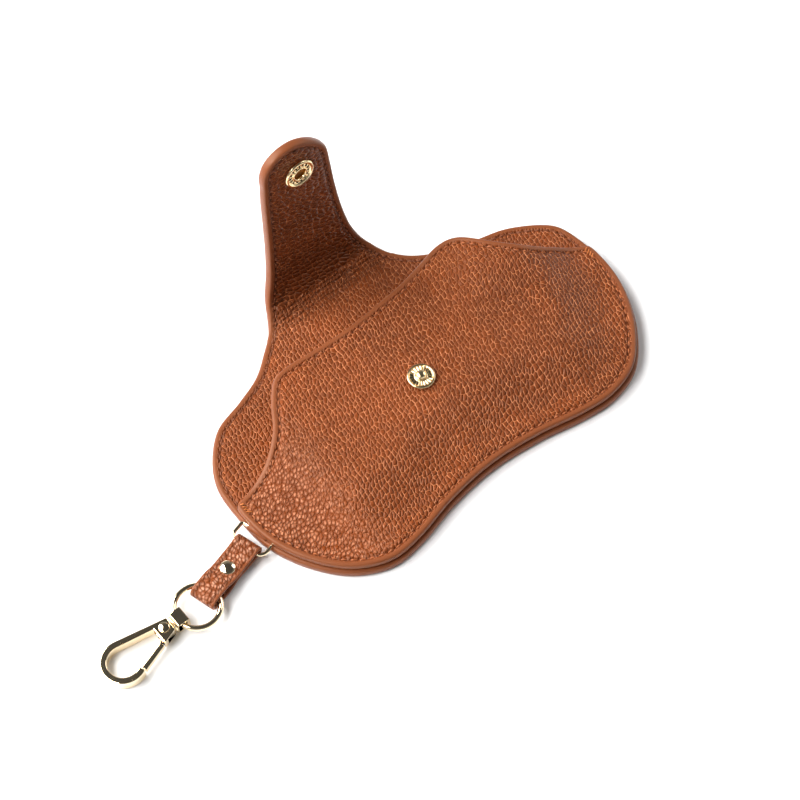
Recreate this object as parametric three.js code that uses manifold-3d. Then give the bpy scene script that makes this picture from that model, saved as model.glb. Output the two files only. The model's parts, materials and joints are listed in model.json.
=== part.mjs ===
// Slim eyeglasses case: two leather panels sewn into a pocket, a snap flap, and a strap with a swivel clasp.
// Millimetres, +Z up. The case lies on its back. The origin is on the underside, below the snap's axis;
// +X runs along the case and +Y runs from the pocket's floor to the flap.
import * as THREE from "three";
import { mergeVertices } from "three/addons/utils/BufferGeometryUtils.js";
import Module from "manifold-3d";

const wasm = await Module();
wasm.setup();

// ---------------------------------------------------------------- driving dimensions
const GAP = 0.3; // between pieces that touch
const LOOP_POINTS = 96; // points round a panel's outline

const BACK = { outer: 1.6, lining: 1.5, edge: 0.7, stiffenerInset: 5, recess: 0.5, thickness: 3.4 };
const FRONT = { lining: 0.9, outer: 1.6, edge: 0.6, inset: 1, base: BACK.thickness + GAP };
const DOME = { height: 5.5, sewnMargin: 4.5, run: 26 };
const PROP = { height: 6, x: 58, y: 24, spread: 17, run: 16 }; // the mouth stays propped open here
const CORNER = { left: 3.5, right: 8.5 }; // heights where the pocket's mouth ends at both sides

// The back panel's outline, from the root of the flap round the right end and the waist to the left end.
const BACK_OUTLINE = [
  [28.2, 53.3], [33.6, 47.2], [43.5, 41.6], [55, 38], [68, 34.4], [79.6, 27.3], [83.8, 22.6], [86.4, 12], [87, -1],
  [84.4, -15], [76.8, -30], [65, -42.2], [51, -46.5], [38, -45.7], [20, -42.4], [0, -40.9], [-20, -43.2],
  [-37.7, -47.6], [-51, -48.4], [-64.4, -42], [-75, -29], [-81, -14], [-82, 1], [-80.5, 15], [-74.8, 25.3],
  [-66.2, 33.3], [-54, 37.3], [-43, 41.8], [-34.4, 48.4], [-28.8, 53.3],
];
// The pocket's mouth, from its left corner to its right corner; the right end is pushed wider.
const MOUTH = [
  [-73, 4.8], [-66.5, 6.9], [-60.2, 10.6], [-53.8, 16.5], [-49.6, 23.1], [-44.6, 29.5], [-41.7, 32.4], [-38.3, 33.7],
  [-30.5, 33.9], [-20, 33.2], [-7, 33.1], [7.2, 34.3], [18, 35], [29.3, 36.6], [36.9, 37.7], [42.4, 37.3],
  [46, 35.8], [48.4, 33.3], [51.3, 29.4], [56.3, 23.8], [63.1, 17.6], [68.5, 14.6], [73.8, 12.7], [81, 10.2],
];

const FOLD = { thickness: 3.2, length: 9.2, rest: 39, closing: 45.5, rootHalf: 27, headHalf: 22.6, clear: 1.9 };
const FLAP = { run: 56.6, bend: 10, thickness: 3.6, tipHalf: 14.4, tipLength: 12.8, tipCentre: 57, inset: 4 };
const FLAP_LAYERS = { outer: [-1.8, -0.5], stiffener: [-0.2, 0.3], lining: [0.6, 1.8] };
// Half-widths of the flap at distances from its fold.
const FLAP_HALF = [[0, 22.6], [10, 19.2], [22, 17], [36, 15.7], [50, 14.8], [57, 14.4]];

const STUD = { flange: 5.2, flangeThick: 0.9, ball: 1.8, ballTop: 2.6, shank: 0.9, hole: 1.8, rivet: 4.5 };
const SOCKET = { radius: 6, thick: 1.2, hole: 2.3, grooveRadius: 3, wire: 0.22, wireRadius: 2.62 };
const CAP = { radius: 6, thick: 1.3, shank: 1.5, hole: 1.9 };

const SEAM_Z = BACK.thickness + GAP / 2;
const D_RING = { x: -79.9, y: -9, heading: 196, half: 7, depth: 7.3, root: 1, bow: 3, wire: 0.7 };
const TAB = { width: 8, inner: 1, outer: 1.6, tail: 8, tailThick: 0.6 };
const STRAP = {
  heading: 196, width: 10, layer: 1.3, thickness: 2.9, run: 19.7, slot: 2.8, slack: 0.7, rivetAt: 10.3,
  nearRoom: 0.25, farRoom: 0.5,
};
const RIVET = { radius: 2.9, dome: 1, rim: 0.5, shank: 0.9, hole: 1.2 };
const O_RING = { radius: 8, wire: 1, z: 3.5 };
const SWIVEL = {
  back: -2.9, front: 1.8, width: 6, height: 5.2, eyeBack: -1.9, eyeFront: 1.3, eyeHalf: 1.35,
  neck: 1.9, neckRun: 0.2, disc: 3.3, discThick: 0.7, post: 0.8, postRun: 0.55,
};
const CLASP_DROOP = 2.2; // degrees below level
const HOOK = {
  backWall: 2.6, thickness: 4.4, slot: 2.6, bowX: 18, bowY: 1.2, outer: 8.2, inner: 5.8, armTurn: -102.4,
  gate: 2, eye: 1.6, pinRadius: 0.7, pinHead: 1.9, headThick: 0.5, springFrom: 0.35, springTo: 0.95,
};

const LEATHER = { color: 0xa5603c, roughness: 0.62, metalness: 0 };
const BOARD = { color: 0x8d8377, roughness: 0.9, metalness: 0 };
const GOLD = { color: 0xd9c08c, roughness: 0.22, metalness: 1 };
const STEEL = { color: 0xb9bcc0, roughness: 0.3, metalness: 1 };

const part = new THREE.Group();

// ---------------------------------------------------------------- helpers
const rad = THREE.MathUtils.degToRad;
const turn = (degrees) => new THREE.Vector2(Math.cos(rad(degrees)), Math.sin(rad(degrees)));

function addPiece(name, geometry, look) {
  const mesh = new THREE.Mesh(geometry, new THREE.MeshStandardMaterial(look));
  mesh.name = name;
  part.add(mesh);
  return mesh;
}

// Joins loops of equal length into one closed skin, with end caps unless the loops form a ring.
// Each four-sided patch is split along its shorter diagonal, so that neighbouring layers stay parallel.
function loft(loops, ring = false) {
  const count = loops[0].length;
  const triangles = [];
  const corner = (row, column) => loops[row % loops.length][column % count];
  for (let row = 0; row < loops.length - (ring ? 0 : 1); row += 1) {
    for (let column = 0; column < count; column += 1) {
      const [a, b] = [corner(row, column), corner(row, column + 1)];
      const [c, d] = [corner(row + 1, column + 1), corner(row + 1, column)];
      const shorter = a.distanceToSquared(c) < b.distanceToSquared(d);
      triangles.push(...(shorter ? [[a, b, c], [a, c, d]] : [[a, b, d], [b, c, d]]));
    }
  }
  if (!ring) {
    triangles.push(...cap(loops[0]).map(([a, b, c]) => [a, c, b]));
    triangles.push(...cap(loops[loops.length - 1]));
  }
  const facingOut = volume(triangles) > 0;
  const positions = triangles.flatMap(([a, b, c]) => (facingOut ? [a, b, c] : [a, c, b]))
    .flatMap((p) => [p.x, p.y, p.z]);
  const geometry = new THREE.BufferGeometry();
  geometry.setAttribute("position", new THREE.Float32BufferAttribute(positions, 3));
  geometry.computeVertexNormals();
  return geometry;
}

// Triangles over one loop, wound the way the loop runs, seen in the plane the loop fills best.
function cap(loop) {
  const normal = new THREE.Vector3();
  loop.forEach((p, i) => normal.add(p.clone().cross(loop[(i + 1) % loop.length])));
  const spin = new THREE.Quaternion().setFromUnitVectors(normal.normalize(), new THREE.Vector3(0, 0, 1));
  const flat = loop.map((p) => p.clone().applyQuaternion(spin)).map((p) => new THREE.Vector2(p.x, p.y));
  return THREE.ShapeUtils.triangulateShape(flat, []).map((face) => face.map((i) => loop[i]));
}

function volume(triangles) {
  return triangles.reduce((sum, [a, b, c]) => sum + a.dot(b.clone().cross(c)) / 6, 0);
}

function toSolid(geometry) {
  const bare = geometry.clone();
  bare.deleteAttribute("normal");
  bare.deleteAttribute("uv");
  const merged = mergeVertices(bare, 1e-4);
  const vertProperties = new Float32Array(merged.attributes.position.array);
  const triVerts = new Uint32Array(merged.index.array);
  return new wasm.Manifold(new wasm.Mesh({ numProp: 3, vertProperties, triVerts }));
}

function toGeometry(solid) {
  const mesh = solid.getMesh();
  const geometry = new THREE.BufferGeometry();
  geometry.setAttribute("position", new THREE.BufferAttribute(new Float32Array(mesh.vertProperties), 3));
  geometry.setIndex(new THREE.BufferAttribute(new Uint32Array(mesh.triVerts), 1));
  geometry.computeVertexNormals();
  return geometry;
}

const cut = (geometry, ...tools) =>
  toGeometry(tools.reduce((solid, tool) => solid.subtract(toSolid(tool)), toSolid(geometry)));

const join = (geometry, ...others) =>
  toGeometry(others.reduce((solid, other) => solid.add(toSolid(other)), toSolid(geometry)));

function boxBetween(low, high) {
  const size = high.map((value, i) => value - low[i]);
  const middle = high.map((value, i) => (value + low[i]) / 2);
  return new THREE.BoxGeometry(...size).translate(...middle);
}

// A solid of revolution about Z; the profile is [radius, height] pairs that start and end on the axis.
function revolve(profile, segments = 32) {
  const rising = profile[0][1] <= profile[profile.length - 1][1];
  const points = (rising ? profile : [...profile].reverse()).map(([r, z]) => new THREE.Vector2(r, z));
  return new THREE.LatheGeometry(points, segments).rotateX(Math.PI / 2);
}

function upright(radius, low, high, segments = 24) {
  return revolve([[0, low], [radius, low], [radius, high], [0, high]], segments);
}

function smooth(points, count) {
  const curve = new THREE.CatmullRomCurve3(points.map(([x, y]) => new THREE.Vector3(x, y, 0)), false, "centripetal");
  return curve.getSpacedPoints(count - 1).map((p) => new THREE.Vector2(p.x, p.y));
}

// Moves every point of a clockwise loop inward.
function inset(loop, distance) {
  return loop.map((p, i) => {
    const before = loop[(i + loop.length - 1) % loop.length];
    const after = loop[(i + 1) % loop.length];
    const inward = new THREE.Vector2(after.y - before.y, before.x - after.x).normalize();
    return p.clone().addScaledVector(inward, distance);
  });
}

const level = (loop, z) => loop.map((p) => new THREE.Vector3(p.x, p.y, z));

// ---------------------------------------------------------------- back panel
const backLoop = smooth(BACK_OUTLINE, LOOP_POINTS);
const boardLoop = inset(backLoop, BACK.stiffenerInset);

function makeBackPanel() {
  const liningBase = BACK.thickness - BACK.lining;
  const outer = loft([
    level(inset(backLoop, BACK.edge), 0),
    level(backLoop, BACK.edge),
    level(backLoop, BACK.outer),
    level(boardLoop, BACK.outer),
    level(boardLoop, BACK.outer - BACK.recess),
  ]);
  const lining = loft([
    level(boardLoop, liningBase + BACK.recess),
    level(boardLoop, liningBase),
    level(backLoop, liningBase),
    level(backLoop, BACK.thickness - BACK.edge),
    level(inset(backLoop, BACK.edge), BACK.thickness),
  ]);
  const board = loft([
    level(inset(boardLoop, GAP), BACK.outer - BACK.recess + GAP),
    level(inset(boardLoop, GAP), liningBase + BACK.recess - GAP),
  ]);
  addPiece("back_outer_leather", outer, LEATHER);
  addPiece("back_stiffener", board, BOARD);
  addPiece("back_lining_leather", cut(lining, ringPocket(), tailPocket()), LEATHER);
}

// ---------------------------------------------------------------- front panel
const sewnEdge = inset(backLoop, FRONT.inset).filter((p) => p.y < (p.x < 0 ? CORNER.left : CORNER.right));
const mouthEdge = smooth(MOUTH, LOOP_POINTS / 2);
const frontLoop = [...sewnEdge, ...mouthEdge];
const PANEL_MIDDLE = new THREE.Vector2(0, -5);

function smoothstep(value) {
  const t = THREE.MathUtils.clamp(value, 0, 1);
  return t * t * (3 - 2 * t);
}

// How far the front panel stands off the back panel at a point.
function domeHeight(point) {
  const distance = Math.min(...sewnEdge.map((p) => p.distanceTo(point)));
  const away = Math.hypot(point.x - PROP.x, point.y - PROP.y) / PROP.spread;
  const prop = PROP.height * Math.exp(-away * away / 2) * smoothstep(distance / PROP.run);
  return DOME.height * smoothstep((distance - DOME.sewnMargin) / DOME.run) + prop;
}

// One layer of the domed panel, between two heights above the dome's inner face.
function domedLayer(low, high, edge) {
  const rings = [0.12, 0.4, 0.6, 0.76, 0.88, 0.955];
  const ringAt = (share, rise) => frontLoop.map((p) => {
    const q = PANEL_MIDDLE.clone().lerp(p, share);
    return new THREE.Vector3(q.x, q.y, FRONT.base + domeHeight(q) + rise);
  });
  return loft([
    ...rings.map((share) => ringAt(share, low)),
    ringAt(1, low),
    ringAt(1, high - edge),
    ...(edge > 0 ? [ringAt(0.99, high)] : []),
    ...[...rings].reverse().map((share) => ringAt(share, high)),
  ]);
}

const studHole = upright(STUD.hole, 0, 30);
const frontTop = FRONT.base + DOME.height + FRONT.lining + GAP + FRONT.outer;

function makeFrontPanel() {
  const lining = domedLayer(0, FRONT.lining, 0);
  const outer = domedLayer(FRONT.lining + GAP, FRONT.lining + GAP + FRONT.outer, FRONT.edge);
  addPiece("front_lining_leather", cut(lining, studHole, ringPocket(), tailPocket()), LEATHER);
  addPiece("front_outer_leather", cut(outer, studHole, ringPocket()), LEATHER);
}

// ---------------------------------------------------------------- snap stud on the front panel
function makeStud() {
  const base = frontTop + GAP;
  const neck = STUD.ball * 0.85;
  const rim = base + STUD.flangeThick;
  const top = base + STUD.ballTop;
  const stud = revolve([
    [0, top], [STUD.ball * 0.75, top - 0.15], [STUD.ball, top - 0.7], [neck, rim + 0.4], [neck + 0.3, rim - 0.3],
    [STUD.flange - 1, rim - 0.3], [STUD.flange - 0.6, rim], [STUD.flange - 0.2, rim], [STUD.flange, rim - 0.3],
    [STUD.flange, base], [0, base],
  ], 48);
  const shankHole = upright(STUD.shank + GAP, base - 1, top - 1);
  addPiece("snap_stud", cut(stud, shankHole), GOLD);
  const inside = FRONT.base + DOME.height - GAP;
  const rivet = revolve([
    [0, inside - 0.7], [STUD.rivet - 0.4, inside - 0.7], [STUD.rivet, inside - 0.3], [STUD.rivet, inside],
    [STUD.shank, inside], [STUD.shank, top - 1 - GAP], [0, top - 1 - GAP],
  ]);
  addPiece("snap_stud_rivet", rivet, STEEL);
}

// ---------------------------------------------------------------- fold and flap
// A point of the flap's side view: the distance run from the fold's head and the height off its middle layer.
function flapPoint(run, height, startAngle, origin) {
  const steps = 24;
  const step = run / steps;
  const at = origin.clone();
  let angle = startAngle;
  for (let i = 0; i < steps; i += 1) {
    angle = startAngle + FLAP.bend * THREE.MathUtils.clamp(((i + 0.5) * step) / FLAP.run, 0, 1);
    at.addScaledVector(turn(angle), step);
  }
  return at.addScaledVector(turn(angle + 90), height);
}

const CLOSED = FOLD.rest + FOLD.closing;
const socketFace = FLAP.thickness / 2 + GAP + SOCKET.thick;
const closedHead = turn(CLOSED).multiplyScalar(FOLD.length);
// The fold's lower axis, placed so that the closed flap's socket lies on the stud's axis.
const FOLD_AXIS = new THREE.Vector2(-flapPoint(FLAP.run, socketFace, 2 * CLOSED, closedHead).x, BACK.thickness / 2);
const FOLD_HEAD = FOLD_AXIS.clone().addScaledVector(turn(FOLD.rest), FOLD.length);

function makeFold() {
  const radius = FOLD.thickness / 2;
  const slope = (FOLD.headHalf - FOLD.rootHalf) / FOLD.length;
  const roundTurns = [-90, -60, -30, 0, 30, 60, 90];
  const axisAt = [
    ...roundTurns.map((a) => [-radius * Math.cos(rad(a)), -radius * Math.sin(rad(a))]).reverse(),
    ...roundTurns.map((a) => [FOLD.length + radius * Math.cos(rad(a)), -radius * Math.sin(rad(a))]),
  ];
  const side = (sign) => axisAt.map(([run, height]) => {
    const p = FOLD_AXIS.clone().addScaledVector(turn(FOLD.rest), run).addScaledVector(turn(FOLD.rest + 90), height);
    return new THREE.Vector3(sign * (FOLD.rootHalf + slope * run), p.x, p.y);
  });
  addPiece("fold_leather", loft([side(1), side(-1)]), LEATHER);
}

function flapHalf(run) {
  if (run > FLAP.tipCentre) {
    const share = (run - FLAP.tipCentre) / FLAP.tipLength;
    return FLAP.tipHalf * Math.sqrt(Math.max(1 - share ** 2, 0));
  }
  const next = FLAP_HALF.findIndex(([at]) => at >= run);
  const [from, to] = [FLAP_HALF[Math.max(next - 1, 0)], FLAP_HALF[Math.max(next, 1)]];
  return THREE.MathUtils.mapLinear(run, from[0], to[0], from[1], to[1]);
}

// One layer of the flap between two heights off its middle layer.
function flapLayer([low, high], margin) {
  const stations = [FOLD.clear + margin, 6, 10, 14, 18, 22, 27, 32, 37, 42, 46, 50, 53.5, FLAP.tipCentre];
  const tipTurns = [15, 30, 45, 57, 68, 77, 84];
  tipTurns.forEach((a) => stations.push(FLAP.tipCentre + FLAP.tipLength * Math.sin(rad(a))));
  const loops = stations.map((run) => {
    const half = Math.max(flapHalf(run) - margin, 0.4);
    const along = run > FLAP.tipCentre ? run - margin : run;
    const place = (x, height) => {
      const p = flapPoint(along, height, 2 * FOLD.rest, FOLD_HEAD);
      return new THREE.Vector3(x, p.x, p.y);
    };
    return [place(-half, low), place(half, low), place(half, high), place(-half, high)];
  });
  return loft(loops);
}

// Puts a piece made about Z on the flap, over the snap's axis, with +Z out of the flap's inner face.
function onSnapAxis(geometry) {
  const middle = flapPoint(FLAP.run, 0, 2 * FOLD.rest, FOLD_HEAD);
  const tangent = turn(2 * FOLD.rest + FLAP.bend);
  const out = turn(2 * FOLD.rest + FLAP.bend + 90);
  const basis = new THREE.Matrix4().makeBasis(
    new THREE.Vector3(1, 0, 0),
    new THREE.Vector3(0, tangent.x, tangent.y),
    new THREE.Vector3(0, out.x, out.y),
  );
  return geometry.applyMatrix4(basis).translate(0, middle.x, middle.y);
}

function makeFlap() {
  const hole = () => onSnapAxis(upright(CAP.hole, -5, 5));
  addPiece("flap_outer_leather", cut(flapLayer(FLAP_LAYERS.outer, 0), hole()), LEATHER);
  addPiece("flap_stiffener", cut(flapLayer(FLAP_LAYERS.stiffener, FLAP.inset), hole()), BOARD);
  addPiece("flap_lining_leather", cut(flapLayer(FLAP_LAYERS.lining, 0), hole()), LEATHER);
}

function makeSocket() {
  const base = FLAP.thickness / 2 + GAP;
  const top = base + SOCKET.thick;
  const grooveHalf = 0.35;
  const grooveAt = base + SOCKET.thick / 2;
  const body = revolve([
    [0, base], [SOCKET.radius - 0.3, base], [SOCKET.radius, base + 0.3], [SOCKET.radius, top - 0.3],
    [SOCKET.radius - 0.4, top], [SOCKET.radius - 1, top], [SOCKET.radius - 1.3, top - 0.3],
    [SOCKET.hole + 1.2, top - 0.3], [SOCKET.hole + 0.9, top], [0, top],
  ], 48);
  const hole = upright(SOCKET.hole, base - 1, top + 1, 32);
  const groove = upright(SOCKET.grooveRadius, grooveAt - grooveHalf, grooveAt + grooveHalf, 32);
  addPiece("snap_socket", onSnapAxis(cut(body, hole, groove)), GOLD);
  const wire = new THREE.TorusGeometry(SOCKET.wireRadius, SOCKET.wire, 8, 32).translate(0, 0, grooveAt);
  addPiece("snap_ring_spring", onSnapAxis(wire), STEEL);
}

function makeCap() {
  const base = -(FLAP.thickness / 2 + GAP);
  const cap = revolve([
    [0, base - CAP.thick], [CAP.radius * 0.5, base - CAP.thick * 0.92], [CAP.radius * 0.85, base - CAP.thick * 0.6],
    [CAP.radius, base - 0.4], [CAP.radius, base], [CAP.shank, base], [CAP.shank, 1.3], [0, 1.3],
  ], 40);
  addPiece("snap_cap", onSnapAxis(cap), GOLD);
}

// ---------------------------------------------------------------- D-ring and its tab
// Puts a piece made about its straight side on the ring: X pointing out of the case, Y along the straight side.
function onRing(geometry) {
  return geometry.rotateZ(rad(D_RING.heading)).translate(D_RING.x, D_RING.y, SEAM_Z);
}

// The room that the ring's straight side and legs need between the two panels.
function ringPocket() {
  const half = D_RING.half + D_RING.wire + 0.8;
  const room = TAB.outer + 0.35;
  return onRing(boxBetween([-TAB.outer - 0.9, -half, -room], [D_RING.depth, half, room]));
}

function tailPocket() {
  const room = TAB.tailThick / 2 + GAP;
  const half = TAB.width / 2 + GAP;
  const start = -TAB.outer;
  return onRing(boxBetween([start - TAB.tail - 2 * GAP, -half, -room], [start, half, room]));
}

// A round wire along a closed flat path at one height.
function closedWire(path, radius, sides = 12) {
  return loft(path.map((p, i) => {
    const before = path[(i + path.length - 1) % path.length];
    const after = path[(i + 1) % path.length];
    const side = new THREE.Vector3(after.y - before.y, before.x - after.x, 0).normalize();
    return Array.from({ length: sides }, (_, k) => {
      const a = (2 * Math.PI * k) / sides;
      return p.clone().addScaledVector(side, radius * Math.cos(a)).add(new THREE.Vector3(0, 0, radius * Math.sin(a)));
    });
  }), true);
}

function makeDRing() {
  const { half, depth, root, bow, wire } = D_RING;
  const path = [];
  const bend = (x, y, radius, from, to) => {
    for (let a = from; a <= to; a += 15) {
      path.push(new THREE.Vector3(x + radius * Math.cos(rad(a)), y + radius * Math.sin(rad(a)), 0));
    }
  };
  bend(depth - bow, half - bow, bow, 0, 90);
  bend(root, half - root, root, 90, 180);
  bend(root, root - half, root, 180, 270);
  bend(depth - bow, bow - half, bow, 270, 360);
  addPiece("d_ring", onRing(closedWire(path, wire)), GOLD);
}

function makeTab() {
  const ring = new THREE.Shape().absarc(0, 0, TAB.outer, 0, 2 * Math.PI);
  ring.holes.push(new THREE.Path().absarc(0, 0, TAB.inner, 0, 2 * Math.PI, true));
  const loop = new THREE.ExtrudeGeometry(ring, { depth: TAB.width, bevelEnabled: false, curveSegments: 20 });
  loop.rotateX(Math.PI / 2).translate(0, TAB.width / 2, 0);
  const half = TAB.tailThick / 2;
  const low = [-TAB.outer - TAB.tail, -TAB.width / 2, -half];
  const tail = boxBetween(low, [-(TAB.inner + TAB.outer) / 2, TAB.width / 2, half]);
  addPiece("ring_tab", onRing(join(loop, tail)), LEATHER);
}

// ---------------------------------------------------------------- strap
const strapFlat = new THREE.Vector3(turn(STRAP.heading).x, turn(STRAP.heading).y, 0);
const ringFlat = new THREE.Vector3(turn(D_RING.heading).x, turn(D_RING.heading).y, 0);
const strapStart = new THREE.Vector3(D_RING.x, D_RING.y, SEAM_Z).addScaledVector(ringFlat, D_RING.depth);
const strapEnd = strapStart.clone().addScaledVector(strapFlat, STRAP.run).setZ(O_RING.z);
const strapAlong = strapEnd.clone().sub(strapStart).normalize();
const strapAcross = new THREE.Vector3(0, 0, 1).cross(strapAlong).normalize();
const strapUp = strapAlong.clone().cross(strapAcross);

// Puts a piece made about Z on the strap: X along it, Y across it, Z out of its upper face.
function onStrap(geometry, along) {
  const basis = new THREE.Matrix4().makeBasis(strapAlong, strapAcross, strapUp);
  const at = strapStart.clone().addScaledVector(strapAlong, along);
  return geometry.applyMatrix4(basis).translate(at.x, at.y, at.z);
}

// A hole through the strap's side view, round at both ends.
function slotPath(from, to, radius) {
  const slot = new THREE.Path().absarc(to, 0, radius, rad(90), rad(-90), true);
  return slot.absarc(from, 0, radius, rad(-90), rad(-270), true).closePath();
}

function makeStrap() {
  const near = D_RING.wire + STRAP.nearRoom;
  const far = O_RING.wire + STRAP.farRoom;
  const nearOuter = near + STRAP.layer;
  const farOuter = far + STRAP.layer;
  const half = STRAP.thickness / 2;
  const farAt = STRAP.run + STRAP.slot;
  const shape = new THREE.Shape();
  shape.moveTo(STRAP.run - 5.5, half).lineTo(4.5, half).quadraticCurveTo(2.6, half, 1, nearOuter);
  shape.lineTo(-STRAP.slack, nearOuter).absarc(-STRAP.slack, 0, nearOuter, rad(90), rad(270), false);
  shape.lineTo(1, -nearOuter).quadraticCurveTo(2.6, -half, 4.5, -half);
  shape.lineTo(STRAP.run - 5.5, -half).quadraticCurveTo(STRAP.run - 3, -half, STRAP.run - 1.2, -farOuter);
  shape.lineTo(farAt, -farOuter).absarc(farAt, 0, farOuter, rad(-90), rad(90), false);
  shape.lineTo(STRAP.run - 1.2, farOuter).quadraticCurveTo(STRAP.run - 3, half, STRAP.run - 5.5, half);
  shape.holes.push(slotPath(-STRAP.slack, 0, near), slotPath(STRAP.run - 1, farAt, far));
  const band = new THREE.ExtrudeGeometry(shape, { depth: STRAP.width, bevelEnabled: false, curveSegments: 10 });
  band.rotateX(Math.PI / 2).translate(0, STRAP.width / 2, 0);
  const hole = upright(RIVET.hole, -5, 5).translate(STRAP.rivetAt, 0, 0);
  addPiece("strap_leather", onStrap(cut(band, hole), 0), LEATHER);
}

// Half of the two-part rivet: a domed head and a shank.
function rivetHalf(shankLow, shankHigh, seat) {
  const crown = seat + RIVET.dome;
  return join(
    revolve([
      [0, crown], [RIVET.radius * 0.45, crown - 0.12], [RIVET.radius * 0.8, crown - 0.45],
      [RIVET.radius, seat + 0.2], [RIVET.radius, seat], [0, seat],
    ]),
    upright(RIVET.shank, shankLow, shankHigh),
  );
}

function makeStrapRivet() {
  const seat = STRAP.thickness / 2 + GAP;
  addPiece("strap_rivet_cap", onStrap(rivetHalf(-0.2, seat + 0.2, seat), STRAP.rivetAt), GOLD);
  const back = rivetHalf(0.1 + GAP, seat + 0.2, seat).rotateX(Math.PI);
  addPiece("strap_rivet_back", onStrap(back, STRAP.rivetAt), GOLD);
}

// ---------------------------------------------------------------- O-ring, swivel and clasp
const ringCentre = strapEnd.clone().addScaledVector(strapFlat, O_RING.radius);
const swivelAt = ringCentre.clone().add(new THREE.Vector3(-O_RING.radius, 0, 0));

function makeORing() {
  const ring = new THREE.TorusGeometry(O_RING.radius, O_RING.wire, 12, 48);
  addPiece("o_ring", ring.translate(ringCentre.x, ringCentre.y, ringCentre.z), GOLD);
}

// Pieces of the clasp are made with X pointing away from the ring, then turned to point along -X and down a little.
function onClasp(geometry) {
  return geometry.rotateY(rad(CLASP_DROOP)).rotateZ(Math.PI).translate(swivelAt.x, swivelAt.y, swivelAt.z);
}

const alongX = (geometry) => geometry.rotateY(Math.PI / 2);
const hookFace = SWIVEL.front + SWIVEL.neckRun + SWIVEL.discThick + GAP;
const pinAt = hookFace + HOOK.backWall;

function makeSwivel() {
  const { back, front, width, height, neckRun, discThick } = SWIVEL;
  const block = boxBetween([back, -width / 2, -height / 2], [front, width / 2, height / 2]);
  const eye = boxBetween([SWIVEL.eyeBack, -width, -SWIVEL.eyeHalf], [SWIVEL.eyeFront, width, SWIVEL.eyeHalf]);
  const discFrom = front + neckRun;
  const swivel = join(
    cut(block, eye),
    alongX(upright(SWIVEL.neck, front - 0.3, discFrom + 0.3)),
    alongX(upright(SWIVEL.disc, discFrom, discFrom + discThick, 40)),
    alongX(upright(SWIVEL.post, discFrom, hookFace + SWIVEL.postRun)),
  );
  addPiece("swivel_eye", onClasp(swivel), GOLD);
}

// A flat plate of the clasp, centred on the clasp's middle plane, with its origin on the gate's pin.
function plate(shape, thickness) {
  const body = new THREE.ExtrudeGeometry(shape, { depth: thickness, bevelEnabled: false, curveSegments: 20 });
  return body.translate(pinAt, 0, -thickness / 2);
}

function polygon(points) {
  return new THREE.Shape(points.map(([x, y]) => new THREE.Vector2(x, y)));
}

function makeHook() {
  const { bowX, bowY, outer, inner, armTurn, thickness, slot, backWall } = HOOK;
  const shape = new THREE.Shape();
  shape.moveTo(-backWall, 2.8).lineTo(-backWall, -2.7);
  shape.absarc(bowX, bowY, outer, rad(armTurn), rad(118.8), false);
  shape.absarc(bowX, bowY, inner, rad(121.7), rad(armTurn), true);
  shape.lineTo(3.2, -1.9).lineTo(3.2, 4.7).closePath();
  const gateRoom = boxBetween([pinAt - 1.95, -1.9, -slot / 2], [pinAt + 4, 4, slot / 2]);
  const bore = alongX(upright(SWIVEL.post + GAP, hookFace - 1, pinAt - 1));
  const pinHole = upright(HOOK.pinRadius + GAP, -thickness, thickness).translate(pinAt, 0, 0);
  addPiece("hook_body", onClasp(cut(plate(shape, thickness), gateRoom, bore, pinHole)), GOLD);
}

function makeGate() {
  const eye = plate(new THREE.Shape().absarc(0, 0, HOOK.eye, 0, 2 * Math.PI), HOOK.gate);
  const bar = plate(polygon([
    [1.2, -0.9], [4.6, 3.4], [14.35, 6.5], [13.6, 8.2], [3.7, 4.9], [3.6, 3.6], [0.2, 3.2], [-1.2, 1],
  ]), HOOK.gate);
  const springRoom = upright(HOOK.eye + 0.5, HOOK.springFrom - GAP, HOOK.gate).translate(pinAt, 0, 0);
  const pinHole = upright(HOOK.pinRadius + 0.08, -HOOK.gate, HOOK.gate).translate(pinAt, 0, 0);
  addPiece("gate_lever", onClasp(cut(join(eye, bar), springRoom, pinHole)), GOLD);
}

function makeGatePin() {
  const seat = HOOK.thickness / 2 + GAP;
  const shank = upright(HOOK.pinRadius, -seat - 0.1, seat + 0.1);
  const head = () => revolve([
    [0, seat + HOOK.headThick], [HOOK.pinHead * 0.6, seat + HOOK.headThick],
    [HOOK.pinHead, seat + 0.15], [HOOK.pinHead, seat], [0, seat],
  ]);
  const pin = join(shank, head(), head().rotateX(Math.PI)).translate(pinAt, 0, 0);
  addPiece("gate_pin", onClasp(pin), GOLD);
  const { springFrom, springTo } = HOOK;
  const coil = revolve([
    [HOOK.pinRadius + GAP, springFrom], [HOOK.eye, springFrom], [HOOK.eye, springTo],
    [HOOK.pinRadius + GAP, springTo], [HOOK.pinRadius + GAP, springFrom],
  ], 24).translate(pinAt, 0, 0);
  addPiece("gate_spring", onClasp(coil), STEEL);
}

// ---------------------------------------------------------------- assembly
makeBackPanel();
makeFrontPanel();
makeStud();
makeFold();
makeFlap();
makeSocket();
makeCap();
makeTab();
makeDRing();
makeStrap();
makeStrapRivet();
makeORing();
makeSwivel();
makeHook();
makeGate();
makeGatePin();

export default part;
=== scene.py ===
"""Looks of a leather eyeglasses case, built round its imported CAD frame.

Shapes are worked out in millimetres in the frame's own axes, and become metres when a mesh is made.
Leather sheets are drawn flat, as (x, s): s runs along the case's back, over the fold and up the flap.
"""
import json
import math
from contextlib import contextmanager

import bmesh
import bpy
import numpy as np
from mathutils import Matrix, Vector
from mathutils.geometry import delaunay_2d_cdt


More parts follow.
